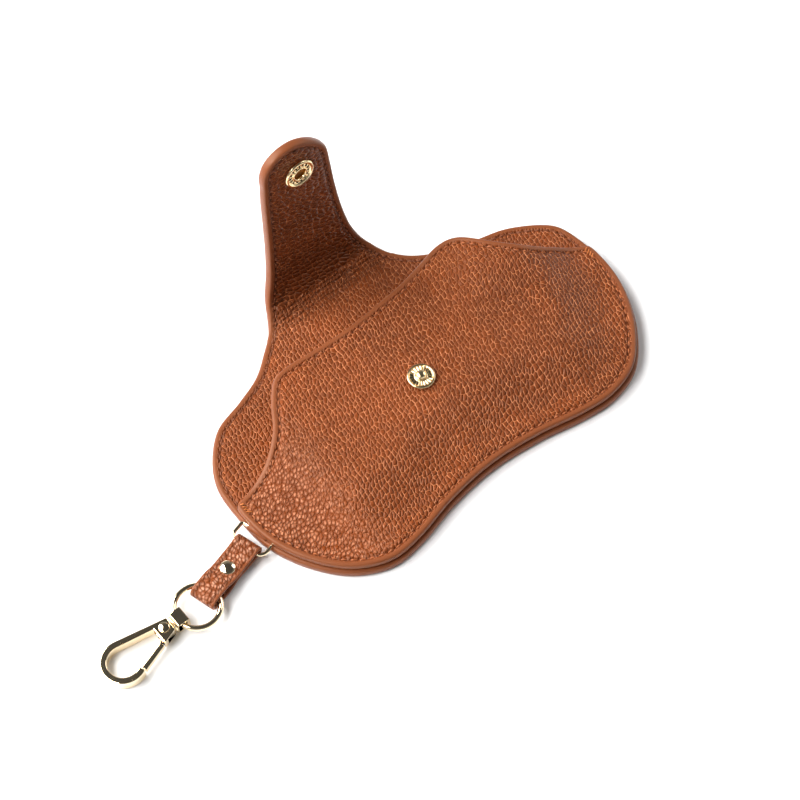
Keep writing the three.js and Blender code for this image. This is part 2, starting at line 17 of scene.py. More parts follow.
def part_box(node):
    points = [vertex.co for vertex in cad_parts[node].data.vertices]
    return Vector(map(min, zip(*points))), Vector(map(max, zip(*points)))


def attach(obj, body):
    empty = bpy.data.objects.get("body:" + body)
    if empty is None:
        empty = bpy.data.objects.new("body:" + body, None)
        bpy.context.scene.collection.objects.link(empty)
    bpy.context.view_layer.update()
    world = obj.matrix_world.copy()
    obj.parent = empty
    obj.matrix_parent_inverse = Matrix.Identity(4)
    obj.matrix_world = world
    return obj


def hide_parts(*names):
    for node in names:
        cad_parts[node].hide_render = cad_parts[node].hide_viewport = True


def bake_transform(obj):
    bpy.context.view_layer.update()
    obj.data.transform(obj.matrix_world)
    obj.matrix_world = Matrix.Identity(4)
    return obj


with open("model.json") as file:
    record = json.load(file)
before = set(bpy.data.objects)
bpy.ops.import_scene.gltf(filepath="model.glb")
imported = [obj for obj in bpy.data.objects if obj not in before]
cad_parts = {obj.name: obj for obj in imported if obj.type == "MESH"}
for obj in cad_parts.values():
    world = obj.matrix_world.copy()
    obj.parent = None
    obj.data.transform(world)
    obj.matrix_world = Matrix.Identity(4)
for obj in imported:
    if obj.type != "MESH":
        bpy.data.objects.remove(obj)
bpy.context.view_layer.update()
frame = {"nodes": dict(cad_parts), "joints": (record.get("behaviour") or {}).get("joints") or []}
MM = 0.001
UP = np.array([0.0, 0.0, 1.0])

# ---------------------------------------------------------------- driving sizes, in millimetres
BACK_THICK = 3.4  # also the fold's
FLAP_THICK = 3.6
FRONT_BASE = 3.7
FRONT_THICK = 2.8
FRONT_INSET = 1.0
CORNER_LEFT, CORNER_RIGHT = 3.5, 8.5
DOME_HEIGHT, DOME_MARGIN, DOME_RUN = 5.5, 4.5, 26.0
PROP_HEIGHT, PROP_X, PROP_Y, PROP_SPREAD, PROP_RUN = 6.0, 58.0, 24.0, 17.0, 16.0
RIM = 1.0  # how far the rounded rim reaches in from an edge
RIM_STEPS = 10
EDGE_RINGS = (0.4, 0.8, 1.1, 1.4, 1.7, 2.0, 2.4, 3.0, 3.8, 4.8, 5.8)  # rings of points inside the rim
FIELD_GAP = 6.4  # the even field of points starts this far in
STITCH_INSET = 2.7
STITCH_PITCH = 3.3
STITCH_LENGTH = 2.5
THREAD_RADIUS, THREAD_SIDES = 0.3, 8
THREAD_ARCH = np.array([-0.3, 0.05, 0.22, 0.28, 0.22, 0.05, -0.3])  # a stitch's height along its length
TACK_ARCH = np.array([-0.15, 0.2, 0.34, 0.38, 0.34, 0.2, -0.15])
UNDERSIDE_SINK = 0.25  # how much deeper the stitches lie on the underside
TACKS, TACK_START, TACK_STEP, TACK_REACH = 4, 1.2, 1.15, 1.0
BEND_REACH = 3.8  # the leather bends over this length on each side of a fold's axis
FLAP_START, FLAP_BEND, FLAP_RUN = 78.0, 10.0, 56.6
TIP_HALF, TIP_LENGTH, TIP_RUN = 14.2, 14.8, 57.0
FLAP_LEAN, TIP_LEAN = 0.5, 2.2  # the flap's leather sits a little to the left of its snap

# The back panel's edge: its left side from the fold down, then its floor and right side up to the fold.
BACK_LEFT = [
    (-28.8, 53.3), (-34.4, 48.4), (-43, 41.8), (-54, 37.3), (-66.2, 33.3), (-74.8, 25.3), (-80.5, 15),
    (-82, 1), (-81, -14), (-75, -29), (-64.4, -42), (-51, -48.4), (-37.7, -47.6), (-20, -43.2),
]
BACK_RIGHT = [
    (0, -40.9), (20, -42.4), (38, -45.7), (51, -46.5), (65, -42.2), (76.8, -30), (84.4, -15), (87, -1),
    (86.4, 12), (83.8, 22.6), (79.6, 27.3), (68, 34.4), (55, 38), (43.5, 41.6), (33.6, 47.2), (28.2, 53.3),
]
# Half-widths of the leather from the fold's lower axis on, at distances along it.
NECK_HALF = [(2, 26), (7, 23.4), (13, 21), (21, 18.6), (32, 16.8), (46, 15.5), (58, 14.8)]
# The front panel's free edge, from its left corner to its right one.
MOUTH = [
    (-73, 4.8), (-66.5, 6.9), (-60.2, 10.6), (-53.8, 16.5), (-49.6, 23.1), (-44.6, 29.5), (-41.7, 32.4),
    (-38.3, 33.7), (-30.5, 33.9), (-20, 33.2), (-7, 33.1), (7.2, 34.3), (18, 35.4), (29.3, 37.4),
    (36.9, 39), (42.4, 38.8), (46, 37.2), (48.8, 34.3), (51.7, 30), (56.3, 23.8), (63.1, 17.6),
    (68.5, 14.6), (73.8, 12.7), (81, 10.2),
]


# ---------------------------------------------------------------- places from the frame
def joint(name):
    """A joint's point in millimetres and its axis."""
    found = next(j for j in frame["joints"] if j["name"] == name)
    return np.array(found["pos_m"]) / MM, np.array(found["axis"], float)


def node_box(name):
    low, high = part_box(name)
    return np.array(low) / MM, np.array(high) / MM


def node_centre(name):
    low, high = node_box(name)
    return (low + high) / 2


LOWER_AXIS = joint("flap_fold_lower")[0][1:]
UPPER_AXIS = joint("flap_fold_upper")[0][1:]
S_LOWER = LOWER_AXIS[0]
S_UPPER = S_LOWER + np.linalg.norm(UPPER_AXIS - LOWER_AXIS)
S_SPLIT = (S_LOWER + S_UPPER) / 2
S_TIP = S_UPPER + TIP_RUN
SNAP_S = S_UPPER + FLAP_RUN


# ---------------------------------------------------------------- flat drawing helpers
def unit(vector):
    vector = np.array(vector, float)
    return vector / np.linalg.norm(vector)


def smoothstep(value):
    t = np.clip(value, 0, 1)
    return t * t * (3 - 2 * t)


def bump(value, centre, spread):
    return np.exp(-(((value - centre) / spread) ** 2))


def catmull(points, closed, per_span=16):
    """A centripetal Catmull-Rom curve through the points."""
    p = np.array(points, float)
    if closed:
        p = np.vstack([p[-1:], p, p[:2]])
    else:
        p = np.vstack([2 * p[0] - p[1], p, 2 * p[-1] - p[-2]])
    out = []
    for a, b, c, d in zip(p, p[1:], p[2:], p[3:]):
        t1 = np.sqrt(np.linalg.norm(b - a))
        t2 = t1 + np.sqrt(np.linalg.norm(c - b))
        t3 = t2 + np.sqrt(np.linalg.norm(d - c))
        t = np.linspace(t1, t2, per_span, endpoint=False)[:, None]
        a1 = (t1 - t) / t1 * a + t / t1 * b
        a2 = (t2 - t) / (t2 - t1) * b + (t - t1) / (t2 - t1) * c
        a3 = (t3 - t) / (t3 - t2) * c + (t - t2) / (t3 - t2) * d
        b1 = (t2 - t) / t2 * a1 + t / t2 * a2
        b2 = (t3 - t) / (t3 - t1) * a2 + (t - t1) / (t3 - t1) * a3
        out.append((t2 - t) / (t2 - t1) * b1 + (t - t1) / (t2 - t1) * b2)
    if not closed:
        out.append(p[-2:-1])
    return np.vstack(out)


def lengths_along(line, closed):
    ends = np.vstack([line, line[:1]]) if closed else line
    return np.concatenate([[0], np.cumsum(np.linalg.norm(np.diff(ends, axis=0), axis=1))])


def resample(line, step, closed=True):
    """The same line with points about a step apart."""
    along = lengths_along(line, closed)
    ends = np.vstack([line, line[:1]]) if closed else line
    count = max(int(round(along[-1] / step)), 4)
    at = np.linspace(0, along[-1], count + 1)
    if closed:
        at = at[:-1]
    return np.column_stack([np.interp(at, along, ends[:, k]) for k in range(ends.shape[1])])


def tangents(loop):
    step = np.roll(loop, -1, axis=0) - np.roll(loop, 1, axis=0)
    return step / np.linalg.norm(step, axis=1)[:, None]


def inward(loop):
    """Unit vectors pointing into an anticlockwise loop."""
    t = tangents(loop)
    return np.column_stack([-t[:, 1], t[:, 0]])


def soften(loop, passes):
    """Rounds a loop's corners a little."""
    for _ in range(passes):
        loop = (np.roll(loop, 1, axis=0) + 2 * loop + np.roll(loop, -1, axis=0)) / 4
    return loop


def nearest(points, line, closed=True):
    """Each point's distance to a line, and how far along the line the nearest place is."""
    start = line if closed else line[:-1]
    end = np.roll(line, -1, axis=0) if closed else line[1:]
    along = lengths_along(line, closed)
    span = end - start
    size = (span**2).sum(1)
    distance, place = np.empty(len(points)), np.empty(len(points))
    for low in range(0, len(points), 2000):
        p = points[low:low + 2000, None, :]
        t = np.clip(((p - start) * span).sum(2) / size, 0, 1)
        gap = np.linalg.norm(p - (start + t[..., None] * span), axis=2)
        best = gap.argmin(1)
        row = np.arange(len(best))
        distance[low:low + 2000] = gap[row, best]
        place[low:low + 2000] = along[best] + t[row, best] * np.sqrt(size[best])
    return distance, place


def inside(points, loop):
    """True for the points within a closed loop."""
    x, y = points[:, 0][:, None], points[:, 1][:, None]
    (ax, ay), (bx, by) = loop.T, np.roll(loop, -1, axis=0).T
    crosses = (ay > y) != (by > y)
    reach = ax + (y - ay) / np.where(by == ay, 1e-9, by - ay) * (bx - ax)
    return (crosses & (x < reach)).sum(1) % 2 == 1


# ---------------------------------------------------------------- outlines
def back_outline():
    """The whole leather laid flat, anticlockwise from the root of the flap's left side."""
    line = BACK_LEFT + BACK_RIGHT
    line += [(w, S_LOWER + run) for run, w in NECK_HALF]
    for turn in range(0, 181, 15):
        a = math.radians(turn)
        line.append((TIP_HALF * math.cos(a), S_TIP + TIP_LENGTH * math.sin(a)))
    line += [(-w, S_LOWER + run) for run, w in reversed(NECK_HALF)]
    loop = resample(catmull(line, closed=True), 1.0)
    loop[:, 0] -= FLAP_LEAN * smoothstep((loop[:, 1] - S_LOWER) / 22)
    loop[:, 0] -= TIP_LEAN * smoothstep((loop[:, 1] - S_TIP) / TIP_LENGTH)
    return loop


BACK_LOOP = back_outline()


def sewn_line():
    """The seam side of the front panel, from its left corner round the floor to its right corner."""
    loop = BACK_LOOP + inward(BACK_LOOP) * FRONT_INSET
    return loop[loop[:, 1] < np.where(loop[:, 0] < 0, CORNER_LEFT, CORNER_RIGHT)]


SEWN = sewn_line()


def front_outline():
    mouth = catmull(MOUTH[::-1], closed=False)
    loop = resample(np.vstack([SEWN, mouth]), 0.8)
    return soften(loop, 6)


FRONT_LOOP = front_outline()


# ---------------------------------------------------------------- the leather's own curve
def spine_table():
    """Side view of the back, the fold and the flap: distances s with their (y, z) on the middle layer."""
    s = np.arange(-60, S_TIP + TIP_LENGTH + 4, 0.2)
    run = np.clip(s - S_UPPER, 0, None)
    steps = np.arange(0, run.max() + 0.2, 0.2)
    angle = np.radians(FLAP_START + FLAP_BEND * np.clip(steps / FLAP_RUN, 0, 1))
    flap = UPPER_AXIS + np.column_stack([np.cumsum(np.cos(angle)), np.cumsum(np.sin(angle))]) * 0.2
    share = np.clip((s - S_LOWER) / (S_UPPER - S_LOWER), 0, 1)[:, None]
    fold = LOWER_AXIS + share * (UPPER_AXIS - LOWER_AXIS)
    yz = np.where((s < S_LOWER)[:, None], np.column_stack([s, np.full_like(s, LOWER_AXIS[1])]), fold)
    on_flap = s >= S_UPPER
    yz[on_flap] = np.column_stack([np.interp(run[on_flap], steps, flap[:, k]) for k in (0, 1)])
    for corner, at in ((S_LOWER, LOWER_AXIS), (S_UPPER, UPPER_AXIS)):
        near = np.abs(s - corner) < BEND_REACH
        before, after = yz[near][0], yz[near][-1]
        t = ((s[near] - corner) / BEND_REACH + 1)[:, None] / 2
        yz[near] = (1 - t) ** 2 * before + 2 * t * (1 - t) * at + t**2 * after
    return s, yz


SPINE_S, SPINE_YZ = spine_table()
SPINE_TANGENT = np.gradient(SPINE_YZ, axis=0)
SPINE_TANGENT /= np.linalg.norm(SPINE_TANGENT, axis=1)[:, None]


def on_spine(s):
    at = np.column_stack([np.interp(s, SPINE_S, SPINE_YZ[:, k]) for k in (0, 1)])
    tangent = np.column_stack([np.interp(s, SPINE_S, SPINE_TANGENT[:, k]) for k in (0, 1)])
    return at, tangent / np.linalg.norm(tangent, axis=1)[:, None]


def place_back(x, s, h):
    """Flat sheet coordinates and a height off the middle layer, as points of the frame."""
    at, tangent = on_spine(s)
    return np.column_stack([x, at[:, 0] - h * tangent[:, 1], at[:, 1] + h * tangent[:, 0]])


def place_level(x, y, z):
    return np.column_stack([x, y, z])


def snap_matrix(height):
    """The frame of a flap fitting: Z out of the flap's inner face, over the snap's axis."""
    at, tangent = on_spine(np.array([SNAP_S]))
    (y, z), (ty, tz) = at[0], tangent[0]
    origin = (0, y - tz * height, z + ty * height)
    return matrix_of((1, 0, 0), (0, ty, tz), (0, -tz, ty), origin)


# ---------------------------------------------------------------- mesh helpers
def matrix_of(x, y, z, origin):
    """The placing matrix with these axes and this origin, in millimetres."""
    return Matrix([[x[k], y[k], z[k], origin[k] * MM] for k in range(3)] + [[0, 0, 0, 1]])


def new_object(name, mesh):
    piece = bpy.data.objects.new(name, mesh)
    bpy.context.scene.collection.objects.link(piece)
    return piece


def make_mesh(name, points, faces, flat=None, **shares):
    """A smooth mesh from points in millimetres. Flat coordinates and per-point values become attributes."""
    mesh = bpy.data.meshes.new(name)
    mesh.from_pydata((np.asarray(points) * MM).tolist(), [], [tuple(int(i) for i in f) for f in faces])
    mesh.polygons.foreach_set("use_smooth", [True] * len(mesh.polygons))
    if flat is not None:
        vectors = mesh.attributes.new("flat", "FLOAT_VECTOR", "POINT")
        vectors.data.foreach_set("vector", np.asarray(flat, np.float32).ravel())
    for label, values in shares.items():
        numbers = mesh.attributes.new(label, "FLOAT", "POINT")
        numbers.data.foreach_set("value", np.asarray(values, np.float32))
    mesh.update()
    return new_object(name, mesh)


def tube_faces(rings, sides, closed):
    """Quads between rings of points that lie one after another; closed joins the last ring to the first."""
    faces = []
    for k in range(rings if closed else rings - 1):
        n = (k + 1) % rings
        for j in range(sides):
            i = (j + 1) % sides
            faces.append((k * sides + j, k * sides + i, n * sides + i, n * sides + j))
    return faces


@contextmanager
def editing(mesh):
    """Lends a mesh out for editing, and writes it back."""
    b = bmesh.new()
    b.from_mesh(mesh)
    yield b
    b.to_mesh(mesh)
    b.free()


def sharpen(piece, degrees=35):
    """Smooth shading, with the edges above an angle kept crisp."""
    with editing(piece.data) as b:
        for face in b.faces:
            face.smooth = True
        for edge in b.edges:
            edge.smooth = edge.calc_face_angle(0) < math.radians(degrees)
    return piece


def finish_piece(piece, material, body=None, nodes=()):
    """Gives a piece its material and the body it rides on, and hides the nodes it stands in for."""
    piece.data.materials.clear()
    piece.data.materials.append(material)
    if body:
        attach(piece, body)
    if nodes:
        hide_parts(*nodes)
    return piece


# ---------------------------------------------------------------- leather sheets
def sheet_points(core, spacing, rows=()):
    """Inner points of a sheet: rings that follow its edge, then an even field, then extra rows."""
    points = []
    for distance in EDGE_RINGS:
        ring = resample(core, 0.9 if distance < 3 else 1.2)
        ring = ring + inward(ring) * distance
        gap, _ = nearest(ring, core)
        points.append(ring[(gap > distance - 0.08) & inside(ring, core)])
    low, high = core.min(0), core.max(0)
    xs = np.arange(low[0], high[0], spacing)
    ys = np.arange(low[1], high[1], spacing * 0.866)
    grid = np.array([(x + (j % 2) * spacing / 2, y) for j, y in enumerate(ys) for x in xs])
    for y0, y1, dy, dx in rows:
        grid = grid[(grid[:, 1] < y0) | (grid[:, 1] > y1)]
        fine = [(x, y) for y in np.arange(y0, y1 + dy / 2, dy) for x in np.arange(low[0], high[0], dx)]
        grid = np.vstack([grid, np.array(fine)])
    grid = grid[inside(grid, core)]
    gap, _ = nearest(grid, core)
    points.append(grid[gap > FIELD_GAP])
    for y0, y1, dy, dx in rows:
        near = grid[(gap > 0.7) & (gap <= FIELD_GAP) & (grid[:, 1] >= y0) & (grid[:, 1] <= y1)]
        points = [p[(p[:, 1] < y0) | (p[:, 1] > y1)] for p in points[:-1]] + points[-1:]
        points.append(near)
    return np.vstack(points)


def triangulate(core, points):
    """Triangles over the area within the core loop, whose own points come first."""
    every = np.vstack([core, points])
    made = delaunay_2d_cdt([Vector(p) for p in every], [], [list(range(len(core)))], 1, 1e-5)
    verts, faces, origin = made[0], made[2], made[3]
    index = {}
    for new, old in enumerate(origin):
        for k in old:
            if k < len(core):
                index[k] = new
    edge = [index[k] for k in range(len(core))]
    return np.array([tuple(v) for v in verts]), [tuple(f) for f in faces], edge


def rim_walls(core, high, low):
    """The rounded rim's rings of (x, s, height), from just under the top to just over the bottom."""
    turns = np.radians(np.linspace(90, -90, RIM_STEPS + 1)[1:-1])
    out = -inward(core)
    middle, half = (high + low) / 2, (high - low) / 2
    walls = []
    for turn in turns:
        reach = abs(math.cos(turn)) ** 0.75 * RIM
        rise = math.copysign(abs(math.sin(turn)) ** 0.85, turn)
        walls.append(np.column_stack([core + out * reach, middle + half * rise]))
    return walls


def wall_faces(edge, count, walls):
    """Quads of the rim, between the top sheet's edge, the rings and the bottom sheet's edge."""
    n = len(edge)
    chain = [edge] + [[2 * count + k * n + i for i in range(n)] for k in range(walls)]
    chain.append([count + i for i in edge])
    faces = []
    for upper, lower in zip(chain, chain[1:]):
        for i in range(n):
            j = (i + 1) % n
            faces.append((upper[j], upper[i], lower[i], lower[j]))
    return faces


def sheet(loop, top, bottom, place, parts, spacing=1.5, rows=(), creases=None):
    """A closed sheet with a rounded rim, as one mesh for each named part.

    top and bottom give heights for arrays of (x, s), and each part has a test of s for its faces.
    """
    core = loop + inward(loop) * RIM
    flat, faces, edge = triangulate(core, sheet_points(core, spacing, rows))
    count = len(flat)
    high, low = top(flat), bottom(flat)
    walls = rim_walls(core, high[edge], low[edge])
    cells = np.vstack([np.column_stack([flat, high]), np.column_stack([flat, low])] + walls)
    gap = nearest(flat, loop)[0]
    from_edge = np.concatenate([gap, gap, np.zeros(len(edge) * len(walls))])
    # Painted shade for the fold's creases, kept in the crease attribute.
    painted_fold_shade = np.zeros(len(cells))
    if creases:
        painted_fold_shade[:count] = np.clip(creases(flat), 0, 1)
    polygons = faces + [tuple(count + i for i in reversed(f)) for f in faces]
    polygons += wall_faces(edge, count, len(walls))
    points = place(cells[:, 0], cells[:, 1], cells[:, 2])
    made = []
    for name, test in parts.items():
        chosen = [f for f in polygons if test(np.mean([cells[i][1] for i in f]))]
        used, renumbered = keep_used(chosen)
        shares = {"edge": from_edge[used], "crease": painted_fold_shade[used]}
        made.append(make_mesh(name, points[used], renumbered, flat=cells[used], **shares))
    return made


def keep_used(faces, first=0):
    """The points that the faces use, and the faces renumbered for just those points."""
    used = sorted({i for f in faces for i in f})
    renumber = {old: new + first for new, old in enumerate(used)}
    return used, [tuple(renumber[i] for i in f) for f in faces]


def undulation(points):
    """Slow unevenness of hand-worked leather."""
    x, y = points.T
    broad = np.sin(x * 0.11 + 1.3) * np.sin(y * 0.13 + 0.4)
    return (broad + 0.6 * np.sin(x * 0.19 - y * 0.16 + 2.0)) * 0.12


def stitch_pinch(place):
    """1 at the ends of each stitch and 0 at its middle, along a seam."""
    return 0.5 + 0.5 * np.cos(2 * np.pi * place / STITCH_PITCH)


def seam_relief(distance, place, rim_rise, groove):
    """Relief across a stitched margin: a raised rim, a groove pinched at each stitch, a soft inner roll."""
    pinch = stitch_pinch(place)
    relief = rim_rise * bump(distance, 1.4, 0.9)
    relief -= groove * (0.75 + 0.35 * pinch) * bump(distance, STITCH_INSET, 0.5)
    return relief + 0.2 * (1 - 0.3 * pinch) * bump(distance, 4.9, 1.2)


def dome(points):
    distance, _ = nearest(points, SEWN, closed=False)
    away = np.hypot(points[:, 0] - PROP_X, points[:, 1] - PROP_Y) / PROP_SPREAD
    prop = PROP_HEIGHT * np.exp(-away * away / 2) * smoothstep(distance / PROP_RUN)
    swell = DOME_HEIGHT * smoothstep((distance - DOME_MARGIN) / DOME_RUN)
    return FRONT_BASE + swell + prop + undulation(points) * smoothstep((distance - 6) / 8)


def stud_dimple(points):
    """The leather sinks a little round the snap stud."""
    return -0.35 * bump(np.hypot(points[:, 0], points[:, 1]), 0, 6.5)


def front_top(points):
    distance, place = nearest(points, FRONT_LOOP)
    return dome(points) + FRONT_THICK + seam_relief(distance, place, 0.15, 0.6) + stud_dimple(points)


def front_bottom(points):
    return dome(points)


def half_thickness(s):
    """Half the back leather's thickness, which grows a little where the flap begins."""
    return BACK_THICK / 2 + smoothstep((s - S_UPPER - 2) / 6) * (FLAP_THICK - BACK_THICK) / 2


# Painted shade in the fold's creases.
CREASE_SHADE = 2.6  # how dark a crease gets for each millimetre of depth
# The fold's creases: distance from the fold's lower axis, depth, and a phase for how the line wanders.
WRINKLES = [
    (-4.4, 0.2, 0.3), (-2.5, 0.34, 1.9), (-0.7, 0.3, 4.1), (1.3, 0.4, 0.9), (3.0, 0.34, 2.6),
    (6.6, 0.36, 5.2), (8.6, 0.3, 3.3), (11.2, 0.2, 0.7),
]


def wrinkles(points):
    """Fine creases across the fold's inner face."""
    x, s = points.T
    depth = np.zeros(len(points))
    for offset, size, phase in WRINKLES:
        wander = 0.35 * np.sin(x * 0.16 + phase) + 0.15 * np.sin(x * 0.53 + 2 * phase)
        if abs(S_LOWER + offset - S_SPLIT) < 0.1:
            wander = 0
        fade = smoothstep((np.abs(x - 3 * math.sin(phase)) - 26) / -10) * 0.5 + 0.5
        depth += size * fade * bump(s, S_LOWER + offset + wander, 0.42)
        depth -= size * 0.45 * fade * bump(s, S_LOWER + offset + wander + 1.2, 0.6)
    return depth


def back_top(points):
    distance, place = nearest(points, BACK_LOOP)
    half = half_thickness(points[:, 1])
    return half + seam_relief(distance, place, 0.12, 0.45) - wrinkles(points)


def back_bottom(points):
    distance, place = nearest(points, BACK_LOOP)
    half = half_thickness(points[:, 1])
    return -half + 0.4 * (0.75 + 0.35 * stitch_pinch(place)) * bump(distance, STITCH_INSET, 0.5)


def make_sheets(leather, back_leather, shaded_flap_leather):
    whole = {"front_panel": lambda s: True}
    front = sheet(FRONT_LOOP, front_top, front_bottom, place_level, whole, spacing=1.4)[0]
    finish_piece(front, leather, "case", ["front_outer_leather", "front_lining_leather"])
    fold_rows = [(S_SPLIT - 12, S_SPLIT, 0.4, 0.9), (S_SPLIT, S_SPLIT + 9, 0.4, 0.9)]
    halves = {"back_panel": lambda s: s < S_SPLIT, "snap_flap": lambda s: s >= S_SPLIT}
    # The fold's wrinkles also get painted shade in their creases.
    back, flap = sheet(BACK_LOOP, back_top, back_bottom, place_back, halves, rows=fold_rows,
                       creases=lambda points: wrinkles(points) * CREASE_SHADE)
    finish_piece(back, back_leather)
    finish_piece(flap, shaded_flap_leather)
    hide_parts("back_outer_leather", "back_stiffener", "back_lining_leather", "fold_leather")
    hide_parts("flap_outer_leather", "flap_stiffener", "flap_lining_leather")
    return back, flap


def bend_over_fold(piece):
    """Bakes a leather piece's placing into its points."""
    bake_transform(piece)


# ---------------------------------------------------------------- stitching
def stitch(points, normals):
    """One stitch: a short thread through the points, thin and sunk at both ends."""
    rings = []
    count = len(points)
    for k, (p, n) in enumerate(zip(points, normals)):
        ahead = points[min(k + 1, count - 1)] - points[max(k - 1, 0)]
        side = np.cross(unit(ahead), n)
        share = math.sin(math.pi * (k + 0.35) / (count - 0.3))
        radius = THREAD_RADIUS * max(share, 0.3) ** 0.5
        for j in range(THREAD_SIDES):
            a = 2 * math.pi * j / THREAD_SIDES
            rings.append(p + radius * (math.cos(a) * side + math.sin(a) * n))
    faces = tube_faces(count, THREAD_SIDES, closed=False)
    faces.append(tuple(range(THREAD_SIDES - 1, -1, -1)))
    faces.append(tuple((count - 1) * THREAD_SIDES + j for j in range(THREAD_SIDES)))
    return rings, faces


def stitches(line, closed, height, place, side, shows=lambda p: True):
    """Stitches along a flat line; side is 1 on a sheet's upper face and -1 on its lower face."""
    along = lengths_along(line, closed)
    ends = np.vstack([line, line[:1]]) if closed else line
    count = int(along[-1] / STITCH_PITCH)
    points, faces, flats = [], [], []
    for k in range(count):
        middle = (k + 0.5) * along[-1] / count
        at = middle + np.linspace(-0.5, 0.5, len(THREAD_ARCH)) * STITCH_LENGTH
        flat = np.column_stack([np.interp(at, along, ends[:, i]) for i in (0, 1)])
        if not shows(flat[len(flat) // 2]):
            continue
        h = height(flat) + side * (THREAD_ARCH - (UNDERSIDE_SINK if side < 0 else 0))
        p = place(flat[:, 0], flat[:, 1], h)
        above = place(flat[:, 0], flat[:, 1], h + side)
        rings, quads = stitch(p, [unit(n) for n in above - p])
        faces += [tuple(i + len(points) for i in f) for f in quads]
        points += rings
        flats += [flat[i // THREAD_SIDES] for i in range(len(rings))]
    return points, faces, np.array(flats)


def inset_line(loop, distance):
    line = resample(loop + inward(loop) * distance, 0.8)
    gap, _ = nearest(line, loop)
    return soften(line[gap > distance - 0.15], 2)


def under_front(p):
    """True where the front panel covers the back panel's inner face."""
    return inside(np.array([p]), FRONT_LOOP)[0]


def corner_tacks():
    """Slanted stitches that lock the seam at each end of the mouth."""
    points, faces = [], []
    for line in (SEWN[:14], SEWN[::-1][:14]):
        path = catmull(line[::4], closed=False)
        along = lengths_along(path, closed=False)
        ahead = unit(path[-1] - path[0])
        for k in range(TACKS):
            at = np.array([np.interp(TACK_START + k * TACK_STEP, along, path[:, i]) for i in (0, 1)])
            inner = np.array([ahead[1], -ahead[0]])
            inner *= math.copysign(1, np.dot(inner, -at))
            middle = at + inner * (STITCH_INSET - 0.2)
            slant = unit(0.8 * inner + 0.6 * ahead)
            flat = middle + np.linspace(-TACK_REACH, TACK_REACH, len(TACK_ARCH))[:, None] * slant
            height = front_top(flat) + TACK_ARCH
            rings, quads = stitch(place_level(flat[:, 0], flat[:, 1], height), [UP] * len(flat))
            faces += [tuple(i + len(points) for i in f) for f in quads]
            points += rings
    return points, faces


def split_stitches(sets):
    """The back's stitches as points and faces for the back panel's side of the fold and for the flap's."""
    halves = {"back_stitching": ([], []), "flap_stitching": ([], [])}
    for name, (all_points, all_faces) in halves.items():
        on_flap = name == "flap_stitching"
        for points, faces, flat in sets:
            chosen = [f for f in faces if (flat[f[0], 1] >= S_SPLIT) == on_flap]
            used, renumbered = keep_used(chosen, first=len(all_points))
            all_faces += renumbered
            all_points += [points[i] for i in used]
    return halves


def make_stitching(thread, tan_thread, bright_thread):
    tacks = make_mesh("mouth_corner_stitches", *corner_tacks())
    finish_piece(tacks, bright_thread, "case")
    front_line = inset_line(FRONT_LOOP, STITCH_INSET)
    points, faces, _ = stitches(front_line, True, front_top, place_level, 1)
    front = make_mesh("front_stitching", points, faces)
    finish_piece(front, tan_thread, "case")
    back_line = inset_line(BACK_LOOP, STITCH_INSET)
    inner = stitches(back_line, True, back_top, place_back, 1, lambda p: not under_front(p))
    outer = stitches(back_line, True, back_bottom, place_back, -1)
    made = []
    for name, (points, faces) in split_stitches((inner, outer)).items():
        made.append(finish_piece(make_mesh(name, points, faces), thread))
    return made


# ---------------------------------------------------------------- metal shapes
def round_corners(profile, radius, steps=3):
    """Each inner corner of a lathe profile becomes a small arc."""
    p = [np.array(q, float) for q in profile]
    out = [p[0]]
    for a, b, c in zip(p, p[1:], p[2:]):
        reach = min(radius, np.linalg.norm(a - b) * 0.45, np.linalg.norm(c - b) * 0.45)
        start, end = b + unit(a - b) * reach, b + unit(c - b) * reach
        for t in np.linspace(0, 1, steps + 1):
            out.append((1 - t) ** 2 * start + 2 * t * (1 - t) * b + t**2 * end)
    return out + [p[-1]]


def fill_profile(profile, step):
    """Adds points along a profile's long runs."""
    out = [profile[0]]
    for a, b in zip(profile, profile[1:]):
        count = max(int(np.linalg.norm(b - a) / step), 1)
        out += [a + (b - a) * (k + 1) / count for k in range(count)]
    return out


def lathe(name, profile, matrix, segments=96, relief=None, corner=0.12, depth=0.6):
    """A turned piece about its own Z. relief(radius, angle) adds to the height, and the metal gets painted
    shade where the relief sinks, darkest at depth.
    """
    rows = round_corners(profile, corner)
    if relief:
        rows = fill_profile(rows, 0.18)
    # how deep each point sinks, for painted shade in the metal's recesses
    points, recess = [], []
    for r, z in rows:
        for k in range(segments):
            a = 2 * math.pi * k / segments
            dz = relief(r, a) if relief else 0
            recess.append(-dz / depth)
            points.append((r * math.cos(a), r * math.sin(a), z + dz))
    piece = make_mesh(name, points, tube_faces(len(rows), segments, closed=False), recess=recess)
    tidy_mesh(piece)
    piece.data.transform(matrix)
    return sharpen(piece)


def tidy_mesh(piece):
    """Welds the points that meet and turns every face outward."""
    with editing(piece.data) as b:
        bmesh.ops.remove_doubles(b, verts=b.verts, dist=2e-6)
        bmesh.ops.dissolve_degenerate(b, edges=b.edges, dist=1e-6)
        bmesh.ops.recalc_face_normals(b, faces=b.faces)


def ring_wire(name, path, radius, normal, sides=28):
    """A closed round wire along a flat path in the frame."""
    points = []
    path = [np.array(p, float) for p in path]
    count = len(path)
    for k, p in enumerate(path):
        ahead = unit(path[(k + 1) % count] - path[k - 1])
        side = np.cross(ahead, normal)
        for j in range(sides):
            a = 2 * math.pi * j / sides
            points.append(p + radius * (math.cos(a) * side + math.sin(a) * np.array(normal)))
    piece = make_mesh(name, points, tube_faces(count, sides, closed=True))
    tidy_mesh(piece)
    return piece


